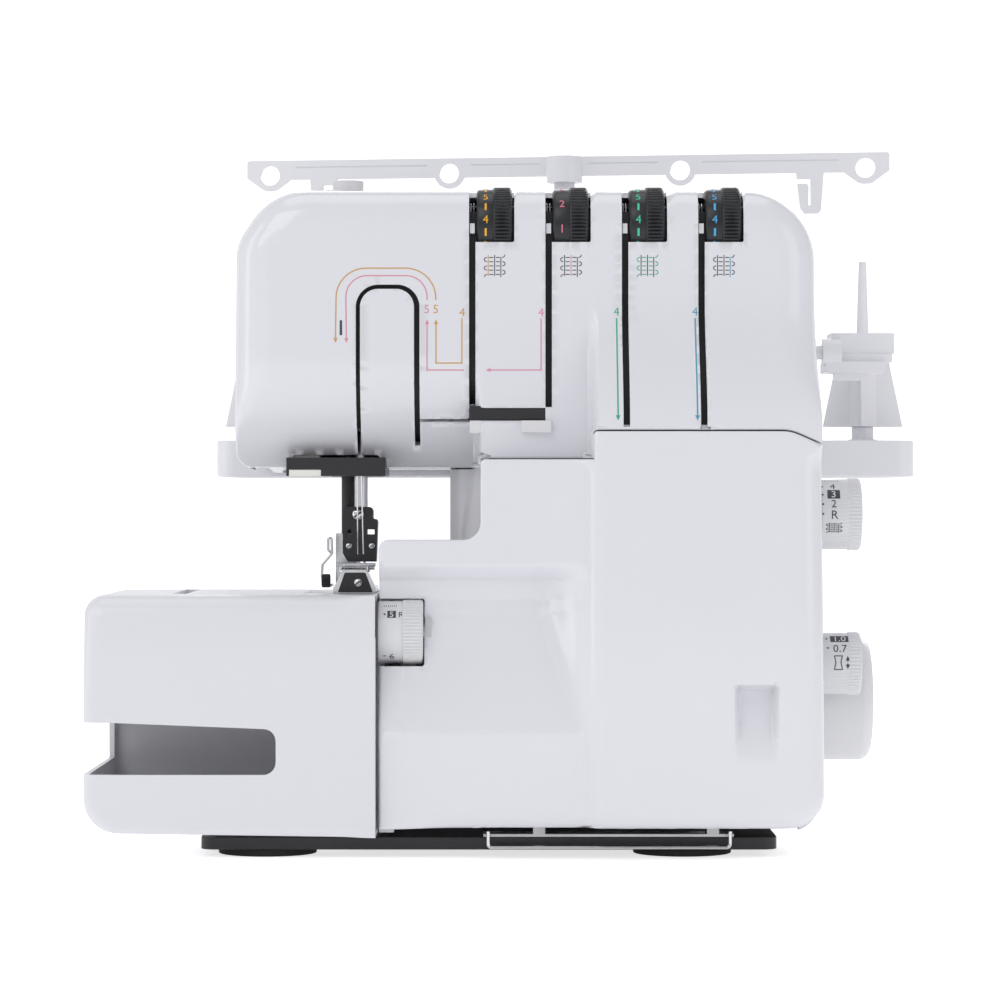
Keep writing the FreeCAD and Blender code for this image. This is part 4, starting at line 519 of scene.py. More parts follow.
def relief(corners, face, rim, back, cuts=(), columns=None, rows=None, step=4.0, facing="front",
           wall_rows=6, steps=5):
    """Points and faces of a skin whose outline is `corners` and whose depth is face(u, v).

    Along the outline a rim is rounded by the radius rim(u, v): at angle a it is inset by
    r(1 - sin a) and set back by r(1 - cos a). From it a wall goes straight back to the depth
    `back`. Each cut is (corners, depth): it opens the face, and the wall down to that depth.
    """
    cut_loops = [arc_points(c, 2.0) for c, _ in cuts]
    loop = arc_points(corners, step)
    if turning(loop) < 0:
        loop = loop[::-1]
    loop = crossings(loop, cut_loops)
    count = len(loop)
    edge = np.roll(loop, -1, 0) - loop
    edge /= np.linalg.norm(edge, axis=1)[:, None]
    out = np.stack([edge[:, 1], -edge[:, 0]], -1)
    out_before = np.roll(out, 1, 0)
    normal = out + out_before
    normal /= np.linalg.norm(normal, axis=1)[:, None]
    normal /= np.clip(np.sum(normal * out, axis=1), 0.5, 1)[:, None]
    radius = np.array([rim(u, v) for u, v in loop])[:, None]
    stations = []
    for a in np.linspace(0, math.pi / 2, steps + 1):
        spot = loop - normal * radius * (1 - math.sin(a))
        stations.append((spot, face(spot[:, 0], spot[:, 1]) + radius[:, 0] * (1 - math.cos(a))))
    start = stations[-1][1]
    marks = sorted({depth for _, depth in cuts if depth < back})
    levels = sorted(set(np.linspace(0, 1, wall_rows + 1)[1:]))
    for level in levels:
        stations.append((loop, start + (back - start) * level))
    for mark in marks:
        depths = [np.mean(d) for _, d in stations[steps + 1:]]
        near = int(np.argmin([abs(d - mark) for d in depths])) + steps + 1
        if near < len(stations) - 1:
            stations[near] = (loop, np.maximum(mark, start + 0.01))
    u = np.stack([s[0][:, 0] for s in stations])
    v = np.stack([s[0][:, 1] for s in stations])
    d = np.stack([s[1] for s in stations])
    quads = grid_faces(len(stations), count, round_columns=True)[:, ::-1]
    middle = np.stack([u.ravel()[quads].mean(1), v.ravel()[quads].mean(1), d.ravel()[quads].mean(1)], -1)
    keep = np.ones(len(quads), bool)
    for cut_loop, (_, depth) in zip(cut_loops, cuts):
        keep &= ~(inside(middle[:, :2], cut_loop) & (middle[:, 2] < depth))
    inner = stations[0][0]
    columns = np.arange(loop[:, 0].min(), loop[:, 0].max(), step) if columns is None else columns
    rows = np.arange(loop[:, 1].min(), loop[:, 1].max(), step) if rows is None else rows
    mesh_points = np.stack(np.meshgrid(columns, rows, indexing="ij"), -1).reshape(-1, 2)
    mesh_points = mesh_points[inside(mesh_points, inner)]
    edges_near = np.concatenate([inner] + cut_loops)
    gap = np.sqrt(((mesh_points[:, None] - edges_near[None]) ** 2).sum(-1)).min(1)
    mesh_points = mesh_points[gap > 0.8]
    verts = [Vector(p) for p in inner]
    lines = [(i, (i + 1) % count) for i in range(count)]
    for cut_loop in cut_loops:
        base = len(verts)
        verts += [Vector(p) for p in cut_loop]
        lines += [(base + i, base + (i + 1) % len(cut_loop)) for i in range(len(cut_loop))]
    verts += [Vector(p) for p in mesh_points]
    flat, _, triangles, _, _, _ = geometry.delaunay_2d_cdt(verts, lines, [], 0, 1e-5)
    flat = np.array([tuple(p) for p in flat])
    triangles = np.array([t for t in triangles if len(t) == 3])
    centres = flat[triangles].mean(1)
    kept = inside(centres, inner)
    for cut_loop in cut_loops:
        kept &= ~inside(centres, cut_loop)
    triangles = triangles[kept]
    corner_points = flat[triangles]
    first = corner_points[:, 1] - corner_points[:, 0]
    second = corner_points[:, 2] - corner_points[:, 0]
    area = first[:, 0] * second[:, 1] - first[:, 1] * second[:, 0]
    triangles[area < 0] = triangles[area < 0][:, ::-1]
    triangles = triangles[abs(area) > 1e-7]
    place = FACINGS[facing]
    skin = np.stack(place(flat[:, 0], flat[:, 1], face(flat[:, 0], flat[:, 1])), -1)
    band = np.stack(place(u.ravel(), v.ravel(), d.ravel()), -1)
    faces = [list(q) for q in quads[keep]] + [list(t + len(band)) for t in triangles]
    return np.concatenate([band, skin]), faces


def smooth_step(value, low, high):
    t = np.clip((value - low) / (high - low), 0, 1)
    return t * t * (3 - 2 * t)


def lathe(name, profile, axis, centre, slot, body, replaces=(), sides=64, shape=None, material=None,
          corner=32.0):
    """Round piece about an axis through centre: profile rows are (along, radius), closed at both ends.

    shape(along, angle, radius) may change the radius over the surface, as for knurls and grips.
    """
    profile = np.array(profile, float)
    angle = np.linspace(0, 2 * math.pi, sides, endpoint=False)
    along, turn = np.meshgrid(profile[:, 0], angle, indexing="ij")
    radius = np.repeat(profile[:, 1:2], sides, 1)
    if shape:
        radius = shape(along, turn, radius)
    a, b = radius * np.cos(turn), radius * np.sin(turn)
    axes = {"x": (along, a, b), "y": (b, along, a), "z": (a, b, along)}[axis]
    points = np.stack(axes, -1).reshape(-1, 3) + np.array(centre)
    faces = [list(q) for q in grid_faces(len(profile), sides, round_columns=True)]
    faces.append(list(range(sides))[::-1])
    faces.append(list(range((len(profile) - 1) * sides, len(profile) * sides)))
    piece = build(name, points, faces, slot, body, replaces, material, corner)
    outward(piece)
    return piece


def outward(piece):
    """Turns every face of a closed piece outwards."""
    work = bmesh.new()
    work.from_mesh(piece.data)
    bmesh.ops.recalc_face_normals(work, faces=work.faces)
    work.to_mesh(piece.data)
    work.free()


def lettering(text, size, u=0.0, v=0.0, rise=0.05):
    """Solid letters `size` millimetres tall, centred on (u, v), as points (u, v, height) and faces."""
    curve = bpy.data.curves.new("lettering", "FONT")
    curve.body = text
    curve.size = size * 1.38
    curve.align_x = "CENTER"
    curve.extrude = rise / 2
    curve.resolution_u = 3
    holder = bpy.data.objects.new("lettering", curve)
    bpy.context.scene.collection.objects.link(holder)
    graph = bpy.context.evaluated_depsgraph_get()
    mesh = bpy.data.meshes.new_from_object(holder.evaluated_get(graph))
    points = np.array([tuple(vertex.co) for vertex in mesh.vertices])
    faces = [list(face.vertices) for face in mesh.polygons]
    bpy.data.objects.remove(holder)
    bpy.data.curves.remove(curve)
    bpy.data.meshes.remove(mesh)
    points[:, 1] -= size / 2
    return points + (u, v, rise / 2), faces


def ribbon(path, width, rise=0.05):
    """Strip along a path of (u, v): at each station two points to the left and two to the right.

    `width` is one number or one number a station, so a strip that narrows to nothing is an arrowhead.
    """
    path = np.array(path, float)
    width = np.broadcast_to(np.asarray(width, float), (len(path),))
    ahead = np.diff(path, axis=0)
    ahead /= np.linalg.norm(ahead, axis=1)[:, None]
    before = np.concatenate([ahead[:1], ahead])
    after = np.concatenate([ahead, ahead[-1:]])
    side = before + after
    side /= np.linalg.norm(side, axis=1)[:, None]
    mitre = 1 / np.clip(np.sum(side * after, axis=1), 0.5, 1)
    across = np.stack([-side[:, 1], side[:, 0]], -1) * (width * mitre / 2)[:, None]
    low, high = np.zeros((len(path), 1)), np.full((len(path), 1), rise)
    rows = [np.hstack([path + across, high]), np.hstack([path + across, low]),
            np.hstack([path - across, low]), np.hstack([path - across, high])]
    points = np.stack(rows, 1).reshape(-1, 3)
    faces = [list(q) for q in grid_faces(len(path), 4, round_columns=True)]
    last = 4 * (len(path) - 1)
    return points, faces + [[3, 2, 1, 0], [last, last + 1, last + 2, last + 3]]


def arrow(path, width=0.5, head=1.7):
    """Line that ends in an arrowhead: the strip widens at once, then narrows to a point."""
    path = np.array(path, float)
    along = path[-1] - path[-2]
    along /= np.linalg.norm(along)
    base = path[-1] - along * head * 1.1
    clear = np.linalg.norm(path - path[-1], axis=1) > head * 1.2
    line = np.vstack([path[clear], base])
    return [ribbon(line, width), ribbon([base, path[-1]], [head, 0.02])]


def finely(points, faces, step):
    """The same solid with its long faces cut across every `step` along v, so that it can be bent."""
    mesh = bpy.data.meshes.new("fine")
    mesh.from_pydata(points.tolist(), [], faces)
    work = bmesh.new()
    work.from_mesh(mesh)
    bpy.data.meshes.remove(mesh)
    for level in np.arange(points[:, 1].min() + step / 2, points[:, 1].max(), step):
        bmesh.ops.bisect_plane(work, geom=work.verts[:] + work.edges[:] + work.faces[:],
                               plane_co=(0, level, 0), plane_no=(0, 1, 0))
    work.verts.ensure_lookup_table()
    work.verts.index_update()
    cut = np.array([tuple(vertex.co) for vertex in work.verts])
    cut_faces = [[vertex.index for vertex in face.verts] for face in work.faces]
    work.free()
    return cut, cut_faces


def mark(name, shapes, place, ink_name, slot, body, step=0.9):
    """Printed mark: shapes in (u, v, height) laid on the surface that place(u, v, height) gives."""
    points, faces, count = [], [], 0
    for shape_points, shape_faces in shapes:
        shape_points, shape_faces = finely(shape_points, shape_faces, step)
        points.append(shape_points)
        faces += [[i + count for i in face] for face in shape_faces]
        count += len(shape_points)
    points = np.concatenate(points)
    laid = np.stack(place(points[:, 0], points[:, 1], points[:, 2]), -1)
    return build(name, laid, faces, slot, body, material=INKS[ink_name], weld=False)


def on_casing(u, v, height):
    return u, casing_face(u, v) - height, v


def on_drum(centre, radius, start=0.0):
    """Surface of a drum about X: v runs up its front as an arc, height adds to its radius."""
    def place(u, v, height):
        turn = start + v / radius
        reach = radius + height
        return centre[0] + u, centre[1] - reach * np.cos(turn), centre[2] + reach * np.sin(turn)
    return place


# ---------------------------------------------------------------- casing shapes
def head_face(z):
    """Depth of the head's front: upright, then a chin that curves back under it as a quarter wave."""
    t = np.clip((TOP - 66.0 - z) / 46.0, 0, 1)
    return HEAD_FRONT + 33.0 * t ** 2.3


def bulge_face(z):
    """Depth of the column's right part: it comes forward by 21 mm down to the looper cover."""
    return HEAD_FRONT - 21.0 * smooth_step(TOP - z, 44.0, 96.0)


def casing_face(x, z):
    """Depth of the whole front casing: chin on the left, flat band, forward bulge on the right."""
    x, z = np.asarray(x, float), np.asarray(z, float)
    chin = 1 - smooth_step(x, COLUMN_X - 3.0, COLUMN_X + 0.5)
    forward = smooth_step(x, BULGE_X - 2.2, BULGE_X + 2.2)
    return HEAD_FRONT + chin * (head_face(z) - HEAD_FRONT) + forward * (bulge_face(z) - HEAD_FRONT)


def casing_rim(x, z):
    """The top and sides of the casing are rounded by 14 mm, its lower edges by 1.2 mm."""
    low = COVER_TOP if x > COLUMN_X else HEAD_BOTTOM + 8
    return 1.2 + (TOP_EDGE_R - 1.4) * float(smooth_step(z, low + 2, low + 30))


TOP_LEFT = [(HEAD_LEFT + 15.2, TOP, 27), (HEAD_LEFT + 0.9, TOP - 21.5, 18)]
TOP_RIGHT = [(RIGHT - 2.2, TOP, 28)]
SEAM = [(BULGE_X, COVER_TOP, 1.5), (RIGHT - 14, COVER_TOP, 16), (RIGHT - 1.4, COVER_TOP - 5.5, 0)]
OPENING = (NEEDLE_X - 28.5, NEEDLE_X + 9.8, HEAD_BOTTOM + 5.2)


def make_front_casing():
    corners = [(HEAD_LEFT, HEAD_BOTTOM + 0.1, 6), (COLUMN_X, HEAD_BOTTOM + 0.1, 0), (COLUMN_X, MID_TOP, 0),
               (BULGE_X, MID_TOP, 0)] + SEAM + TOP_RIGHT + TOP_LEFT
    half = CHANNEL_W / 2
    cuts = []
    for i, (x, dial) in enumerate(zip(CHANNELS, DIALS)):
        foot = COVER_TOP + (9.5 if i < 2 else 0.3)
        sill = dial[2] - 7.6
        notch = [(x - half, TOP + 3, 0), (x - half, foot, 0), (x + half, foot, 0), (x + half, sill, 0),
                 (dial[0] + 8, sill, 0.8), (dial[0] + 8, TOP + 3, 0)]
        cuts.append((notch, dial[1] + 8.6))
    foot = HEAD_BOTTOM - 3
    inner_top = ARCH_TOP - SLOT_W
    cuts.append(([(ARCH_LEFT, foot, 0), (ARCH_LEFT, ARCH_TOP, 9), (ARCH_RIGHT, ARCH_TOP, 9),
                  (ARCH_RIGHT, HEAD_BOTTOM + 9, 0), (ARCH_RIGHT - SLOT_W - 0.5, HEAD_BOTTOM + 9, 0),
                  (ARCH_RIGHT - SLOT_W - 0.5, inner_top, 7.2), (ARCH_LEFT + SLOT_W, inner_top, 7.2),
                  (ARCH_LEFT + SLOT_W, foot, 0)], HEAD_FRONT + 50))
    cuts.append(([(ARCH_RIGHT - 0.2, GAP_Z - 0.6, 0), (CHANNELS[1] - half, GAP_Z - 0.6, 0),
                  (CHANNELS[1] - half, GAP_Z + 4.9, 0), (CHANNELS[0] - half, GAP_Z + 4.9, 0),
                  (CHANNELS[0] - half, GAP_Z + 0.6, 0.9), (ARCH_RIGHT - 0.2, GAP_Z + 0.6, 0)],
                  HEAD_FRONT + 3))
    left, right, top = OPENING
    cuts.append(([(left, HEAD_BOTTOM - 3, 0), (left - 1, top - 3, 0), (left + 1.5, top, 0), (right - 3, top,
                                                                                             0),
                  (right, top - 2.5, 0), (right + 0.5, HEAD_BOTTOM - 3, 0)], HEAD_FRONT + 68))
    columns = np.unique(np.concatenate([np.arange(HEAD_LEFT, RIGHT, 4.0),
                                        np.arange(BULGE_X - 3, BULGE_X + 3.1, 0.75),
                                        np.arange(COLUMN_X - 4, COLUMN_X + 1, 0.75)]))
    rows = np.unique(np.concatenate([np.arange(HEAD_BOTTOM, TOP - 66, 2.0), np.arange(TOP - 66, TOP, 4.0)]))
    points, faces = relief(corners, casing_face, casing_rim, SEAM_Y, cuts, columns, rows)
    piece = build("front_casing_shell", points, faces, "casing", "machine", ["front_casing"])
    thicken(piece, 2.0)


def make_channel_liner():
    """Black moulding behind the slots: the casing's own depth function set back by 5 mm.

    Its lower edge is raised by 14 mm where the needle clamp comes up.
    """
    x = np.linspace(ARCH_LEFT - 5, RIGHT - 26, 60)
    x, up = np.meshgrid(x, np.linspace(0, 1, 40), indexing="ij")
    clear = 1 - smooth_step(abs(x - NEEDLE_X), 11, 15)
    foot = HEAD_BOTTOM + 2 + 14 * clear
    z = foot + (TOP - 9 - foot) * up
    face = casing_face(x, z) + 5.5
    front = np.stack([x, face, z], -1).reshape(-1, 3)
    back = front + (0, 1.5, 0)
    quads = grid_faces(60, 40)
    rim = np.concatenate([np.arange(40), 40 * np.arange(1, 60) + 39, 59 * 40 + np.arange(38, -1, -1),
                          40 * np.arange(58, 0, -1)])
    sides = np.stack([rim, np.roll(rim, -1), np.roll(rim, -1) + 2400, rim + 2400], -1)
    faces = np.concatenate([quads, quads[:, ::-1] + 2400, sides])
    piece = build("channel_liner", np.concatenate([front, back]), faces, "black_plastic", "machine")
    outward(piece)


# ---------------------------------------------------------------- looper cover
def cover_face(x, z):
    """Depth of the looper cover: a crowned right part, and a left part 4 mm back with its scoop.

    The scoop's lean runs from a ledge at z 117 over an overhang to its deepest line at z 100, and comes
    forward along a straight floor to z 52; its right wall closes it with a smooth step. The finger grip
    is a pocket whose floor falls away towards its upper edge.
    """
    x, z = np.asarray(x, float), np.asarray(z, float)
    crown = FRONT + 0.2 + 2.5 * ((z - 90) / 80) ** 2
    left = 1 - smooth_step(x, BULGE_X - 3.0, BULGE_X + 3.0)
    lean = np.interp(z, [13, 52, 60, 98, 104, 112, 116, 118], [0.6, 1.0, 3.0, 14.0, 14.5, 12.5, 4.0, 1.0])
    wall = BULGE_X - 24 + 17 * np.clip((100 - z) / 50, 0, 1)
    scoop = lean * (1 - smooth_step(x, wall, BULGE_X - 1.0))
    grip = smooth_step(x, 84.0, 86.8) * (1 - smooth_step(x, 99.4, 102.2))
    grip = grip * smooth_step(z, 40.0, 66.0) * (1 - smooth_step(z, 68.6, 71.0))
    tab = smooth_step(x, -57.5, -56.8) * (1 - smooth_step(x, -47.6, -46.8))
    tab = tab * smooth_step(z, 50.0, 51.0) * (1 - smooth_step(z, 79.0, 80.0))
    return crown + left * 3.4 + left * scoop + 8.0 * grip - 0.5 * tab


def make_front_cover():
    left, right = COVER_LOW[0], COVER_HIGH[0]
    low, high = COVER_LOW[2], COVER_HIGH[2]
    seam = [(x, z - 0.5, r) for x, z, r in SEAM[::-1]]
    corners = [(left, low, 0), (right, low, 14)] + seam + [(BULGE_X, MID_TOP - 0.5, 0),
               (COLUMN_X, MID_TOP - 0.5, 2), (COLUMN_X, 128, 7), (left, 128, 4)]

    def rim(x, z):
        side = float(smooth_step(x, BULGE_X + 20, RIGHT - 4))
        lower = float(smooth_step(45 - z, 0, 25)) * float(smooth_step(x, left + 4, left + 30))
        upper = float(smooth_step(high - z, 2, 14))
        return 1.3 + max(8.0 * side * upper, 7.0 * lower)

    (_, y, z), r = np.mean(span("stitch_width_dial"), axis=0), WIDTH_DIAL_R + 0.4
    cuts = [([(left - 2, z - r, 0), (WIDTH_DIAL_X + 0.5, z - r, 1), (WIDTH_DIAL_X + 0.5, z + r, 1),
              (left - 2, z + r, 0)], FRONT + 40)]
    columns = np.unique(np.concatenate([np.arange(left, right, 4.0), np.arange(BULGE_X - 30, BULGE_X + 4,
                                                                               1.25),
                                        np.arange(83, 104, 0.7), np.arange(-58, -45, 0.8)]))
    rows = np.unique(np.concatenate([np.arange(low, 40, 4.0), np.arange(40, 82, 1.4), np.arange(82, 96, 3.5),
                                     np.arange(96, 120, 0.9), np.arange(120, high, 4.0)]))
    points, faces = relief(corners, cover_face, rim, COVER_HIGH[1], cuts, columns, rows, wall_rows=12)
    bracket_low, bracket_high = span("hinge_bracket")
    middles = np.array([points[face].mean(0) for face in faces])
    over_bracket = (middles[:, 0] > bracket_low[0] - 2) & (middles[:, 0] < bracket_high[0] + 2)
    over_bracket &= (middles[:, 1] > bracket_low[1] - 4) & (middles[:, 2] < low + 6)
    faces = [face for face, gone in zip(faces, over_bracket) if not gone]
    piece = build("looper_cover_shell", points, faces, "cover", "looper_cover", ["front_cover"])
    thicken(piece, 2.0)


# ---------------------------------------------------------------- extension table
def make_extension_table():
    """Table that slides on the free arm: front with its slot, back, and a top cut out for the arm."""
    low, high = TABLE_LOW, TABLE_HIGH
    corners = [(low[0], low[2] + 1.6, 14), (high[0], low[2], 0), (high[0], high[2], 0), (low[0], high[2], 8)]

    def rim(x, z):
        side = 1 - float(smooth_step(x, high[0] - 14, high[0] - 3))
        return 0.6 + side * (3.5 + 3.0 * float(smooth_step(z, 60, high[2])))

    def face(x, z):
        crown = np.clip((np.asarray(z, float) - 84) / 22, 0, 1) ** 2
        return low[1] + 3.2 * crown

    def back_face(x, z):
        return np.full(np.shape(x), -high[1])

    def back_rim(x, z):
        return rim(-x, z)

    slot = [(low[0] - 3, 35, 0), (low[0] + 76.5, 35, 5), (low[0] + 76.5, 53, 5), (low[0] + 12, 55.6, 20),
            (low[0] - 3, 55.6, 0)]
    arm = (ARM_LOW[0] - 0.8, high[0] + 1, ARM_LOW[1] - 0.4, ARM_HIGH[1] + 0.4)
    open_end = (high[0] - 0.2, high[0] + 1, low[1] + 0.5, high[1] - 0.5)
    join = high[1] - 8
    points, faces = relief(corners, face, rim, join, [(slot, join + 1)], wall_rows=48)
    middles = np.array([points[face].mean(0) for face in faces])
    over_arm = (middles[:, 0] > arm[0]) & (middles[:, 1] > arm[2]) & (middles[:, 1] < arm[3]) \
        & (middles[:, 2] > high[2] - 8)
    over_arm |= (middles[:, 0] > open_end[0]) & (middles[:, 1] > open_end[2])
    faces = [face for face, gone in zip(faces, over_arm) if not gone]
    mirrored = [(-x, z, r) for x, z, r in corners]
    back, back_faces = relief(mirrored, back_face, back_rim, -join, facing="back", wall_rows=1)
    faces += [[i + len(points) for i in face] for face in back_faces
              if np.max(back[face][:, 0]) < high[0] - 0.2 or np.min(back[face][:, 1]) > high[1] - 2]
    piece = build("extension_table_shell", np.concatenate([points, back]), faces, "table", "table",
                  ["extension_table"])
    outward(piece)
    thicken(piece, 2.2, 0.5)


# ---------------------------------------------------------------- tension dials
def knurled(start, count, depth, finish=None):
    """Radius less a raised cosine of `count` ridges round the drum, from `start` along it."""
    def shape(along, turn, radius):
        groove = 0.5 + 0.5 * np.cos(count * turn)
        inside_band = (along > start) & (along < (finish if finish is not None else 1e9))
        return radius - np.where(inside_band, depth * groove ** 2, 0)
    return shape


def make_tension_dial(index):
    """Black drum: a smooth numbered half and a wider knurled half, on one axis along X."""
    name = TENSION[index]
    low, high = span("tension_dial_" + name)
    centre = (low + high) / 2
    half = (high[0] - low[0]) / 2
    r = DIAL_R
    profile = [(-half, 4), (-half, r - 2.0), (-half + 0.3, r - 1.5), (-half + 0.8, r - 1.1), (-half + 1.3,
                                                                                              r - 0.85),
               (-1.0, r - 0.7), (-0.6, r - 0.7), (-0.35, r - 0.25), (0, r), (0.5, r), (2.0, r), (4.0, r),
               (half - 1.4, r), (half - 0.7, r - 0.35), (half - 0.25, r - 0.8), (half, r - 1.4), (half, 4)]
    body = name + "_tension"
    lathe("tension_drum_" + name, profile, "x", centre, "dial_black", body, ["tension_dial_" + name], 384,
          knurled(0.3, 64, 0.55, half - 1.0), corner=40)
    inks = ("bright_orange", "bright_pink", "bright_green", "bright_blue")
    signs = ("5", "4") if index != 1 else ("2", "1")
    pitch = math.radians(41)
    first = math.radians(47.5 if index != 1 else 33)
    shapes = []
    radius = r - 0.72
    for k in range(-5, 5):
        level = (first + pitch * k) * radius
        sign = int(signs[0]) + k
        if 0 <= sign <= 9:
            shapes.append(lettering(str(sign), 3.4, -3.5, level))
            if index != 1:
                shapes.append(ribbon([(-3.5, level - 6.9), (-3.5, level - 3.7)], 0.85))
    mark("tension_scale_" + name, shapes, on_drum(centre, radius), inks[index], "dial_black", body)


# ---------------------------------------------------------------- prints on the casing
def make_thread_path_prints():
    """Threading guide: an arch of two lines round the take-up slot, then a line beside each channel."""
    outer = arc_points([(-34.3, 224.1, 0), (-34.3, 236.9, 12), (-74.2, 236.9, 12), (-74.6, 206.9, 0)], 3,
                       False)
    inner = arc_points([(-37.8, 224.1, 0), (-37.8, 233.9, 8.5), (-70.5, 233.9, 8.5), (-70.2, 206.9, 0)], 3,
                       False)
    orange = arrow(outer) + arrow([(-23.8, 216.9), (-23.8, 198.8), (-34.2, 198.8), (-34.2, 216.3)])
    orange += [lettering("5", 3.5, -34.3, 220.6), lettering("4", 3.5, -23.7, 219.3)]
    pink = arrow(inner) + arrow([(-23.0, 196.0), (-37.8, 196.0), (-37.8, 216.3)])
    pink += [lettering("5", 3.5, -37.9, 220.6), lettering("4", 3.5, 8.0, 219.3)]
    pink += arrow([(8.0, 216.8), (8.0, 196.0), (-14.2, 196.0)])
    mark("needle_path_print_orange", orange, on_casing, "orange", "casing", "machine", 2.0)
    mark("needle_path_print_pink", pink, on_casing, "pink", "casing", "machine", 2.0)
    mark("needle_path_bar", [ribbon([(-72.4, 210.0), (-72.4, 216.0)], 1.0)], on_casing, "grey", "casing",
         "machine", 2.0)
    for x, hue in ((38.3, "green"), (69.8, "blue")):
        line = np.stack([np.full(24, x), np.linspace(216.8, 175.3, 24)], -1)
        shapes = arrow(line, 0.6, 1.9) + [lettering("4", 3.5, x, 219.6)]
        mark("looper_path_print_" + hue, shapes, on_casing, hue, "casing", "machine", 2.0)


def stitch_strokes():
    """Stitch sign: three upright needle threads, and a looper thread that winds back and forth."""
    rows = [3.4 - 1.7 * k for k in range(5)]
    uprights = [[(-2.6, 4.4), (-2.6, -4.0)], [(0, 4.4), (0, -4.0)], [(2.5, 3.6), (2.5, -4.5)]]
    winding = [[(a, row), (b, row)] for row in rows for a, b in ((-2.2, -0.5), (0.5, 2.1))]
    bend = np.linspace(-math.pi / 2, math.pi / 2, 9)
    for k in range(4):
        middle, side = (rows[k] + rows[k + 1]) / 2, (-1 if k % 2 == 0 else 1)
        winding.append(np.stack([side * (3.1 + 1.1 * np.cos(bend)), middle + 0.85 * np.sin(bend)], -1))
    quarter = np.linspace(0, math.pi / 2, 6)
    winding.append(np.stack([3.0 + 1.1 * np.sin(quarter), rows[0] + 1.1 * (1 - np.cos(quarter))], -1))
    winding.append(np.stack([-3.0 - 1.1 * np.sin(quarter), rows[4] - 1.1 * (1 - np.cos(quarter))], -1))
    return uprights, winding


def make_stitch_signs():
    uprights, winding = stitch_strokes()
    for index, dial in enumerate(DIALS):
        x, z = dial[0] + 0.1, TOP - 31.2
        groups = {"grey": [], ("orange", "pink", "green", "blue")[index]: []}
        hues = list(groups)
        for k, stroke in enumerate(uprights):
            groups[hues[1] if k == (0, 1, None, 2)[index] else hues[0]].append(stroke)
        groups[hues[1] if index == 2 else hues[0]] += winding
        for hue, strokes in groups.items():
            shapes = [ribbon(np.array(stroke) + (x, z), 0.36) for stroke in strokes]
            mark("stitch_sign_%s_%s" % (TENSION[index], hue), shapes, on_casing, hue, "casing", "machine",
                 3.0)


# ---------------------------------------------------------------- right-hand dials and handwheel
def make_side_dials():
    """White drums on the right: a smooth printed band, then a knurled one."""
    for node, body, count in (("stitch_length_dial", "stitch_length", 60),
                              ("differential_feed_dial", "differential_feed", 52)):
        low, high = span(node)
        centre = (low + high) / 2
        half, r = (high[0] - low[0]) / 2, (high[2] - low[2]) / 2
        profile = [(-half, 3), (-half, r - 0.6), (-half + 0.2, r - 0.35), (-half + 0.7, r - 0.3), (2.8,
                                                                                                   r - 0.3),
                   (3.3, r), (3.7, r), (6.0, r), (half - 1.1, r), (half - 0.45, r - 0.25), (half - 0.1,
                                                                                            r - 0.7),
                   (half, r - 1.3), (half + 0.0, r - 3.0), (half, 3)]
        lathe(node + "_drum", profile, "x", centre, "dial_white", body, [node], 360,
              knurled(3.2, count, 0.5, half - 0.6), corner=40)
    low, high = span("stitch_width_dial")
    centre, half, r = (low + high) / 2, (high[0] - low[0]) / 2, (high[2] - low[2]) / 2
    profile = [(-half, 3), (-half, r - 1.0), (-half + 0.3, r - 0.6), (-half + 0.8, r - 0.5), (-0.9, r - 0.5),
               (-0.6, r - 0.1), (-0.2, r), (3.0, r), (half - 0.9, r), (half - 0.3, r - 0.4), (half,
                                                                                              r - 1.0),
                                                                                              (half, 3)]
    profile = [(along if along > -half + 1 else along - 3.0, radius) for along, radius in profile]
    lathe("stitch_width_drum", profile, "x", centre, "dial_white", "stitch_width", ["stitch_width_dial"],
          336,
          knurled(-0.5, 56, 0.55, half - 0.5), corner=40)


def dot(u, v, radius=0.42):
    """Round printed dot: a solid disc of twelve sides."""
    turn = np.linspace(0, 2 * math.pi, 12, endpoint=False)
    ring = np.stack([u + radius * np.cos(turn), v + radius * np.sin(turn)], -1)
    points = np.concatenate([np.hstack([ring, np.full((12, 1), h)]) for h in (0, 0.05)])
    sides = [[i, (i + 1) % 12, 12 + (i + 1) % 12, 12 + i] for i in range(12)]
    return points, sides + [list(range(12))[::-1], list(range(12, 24))]


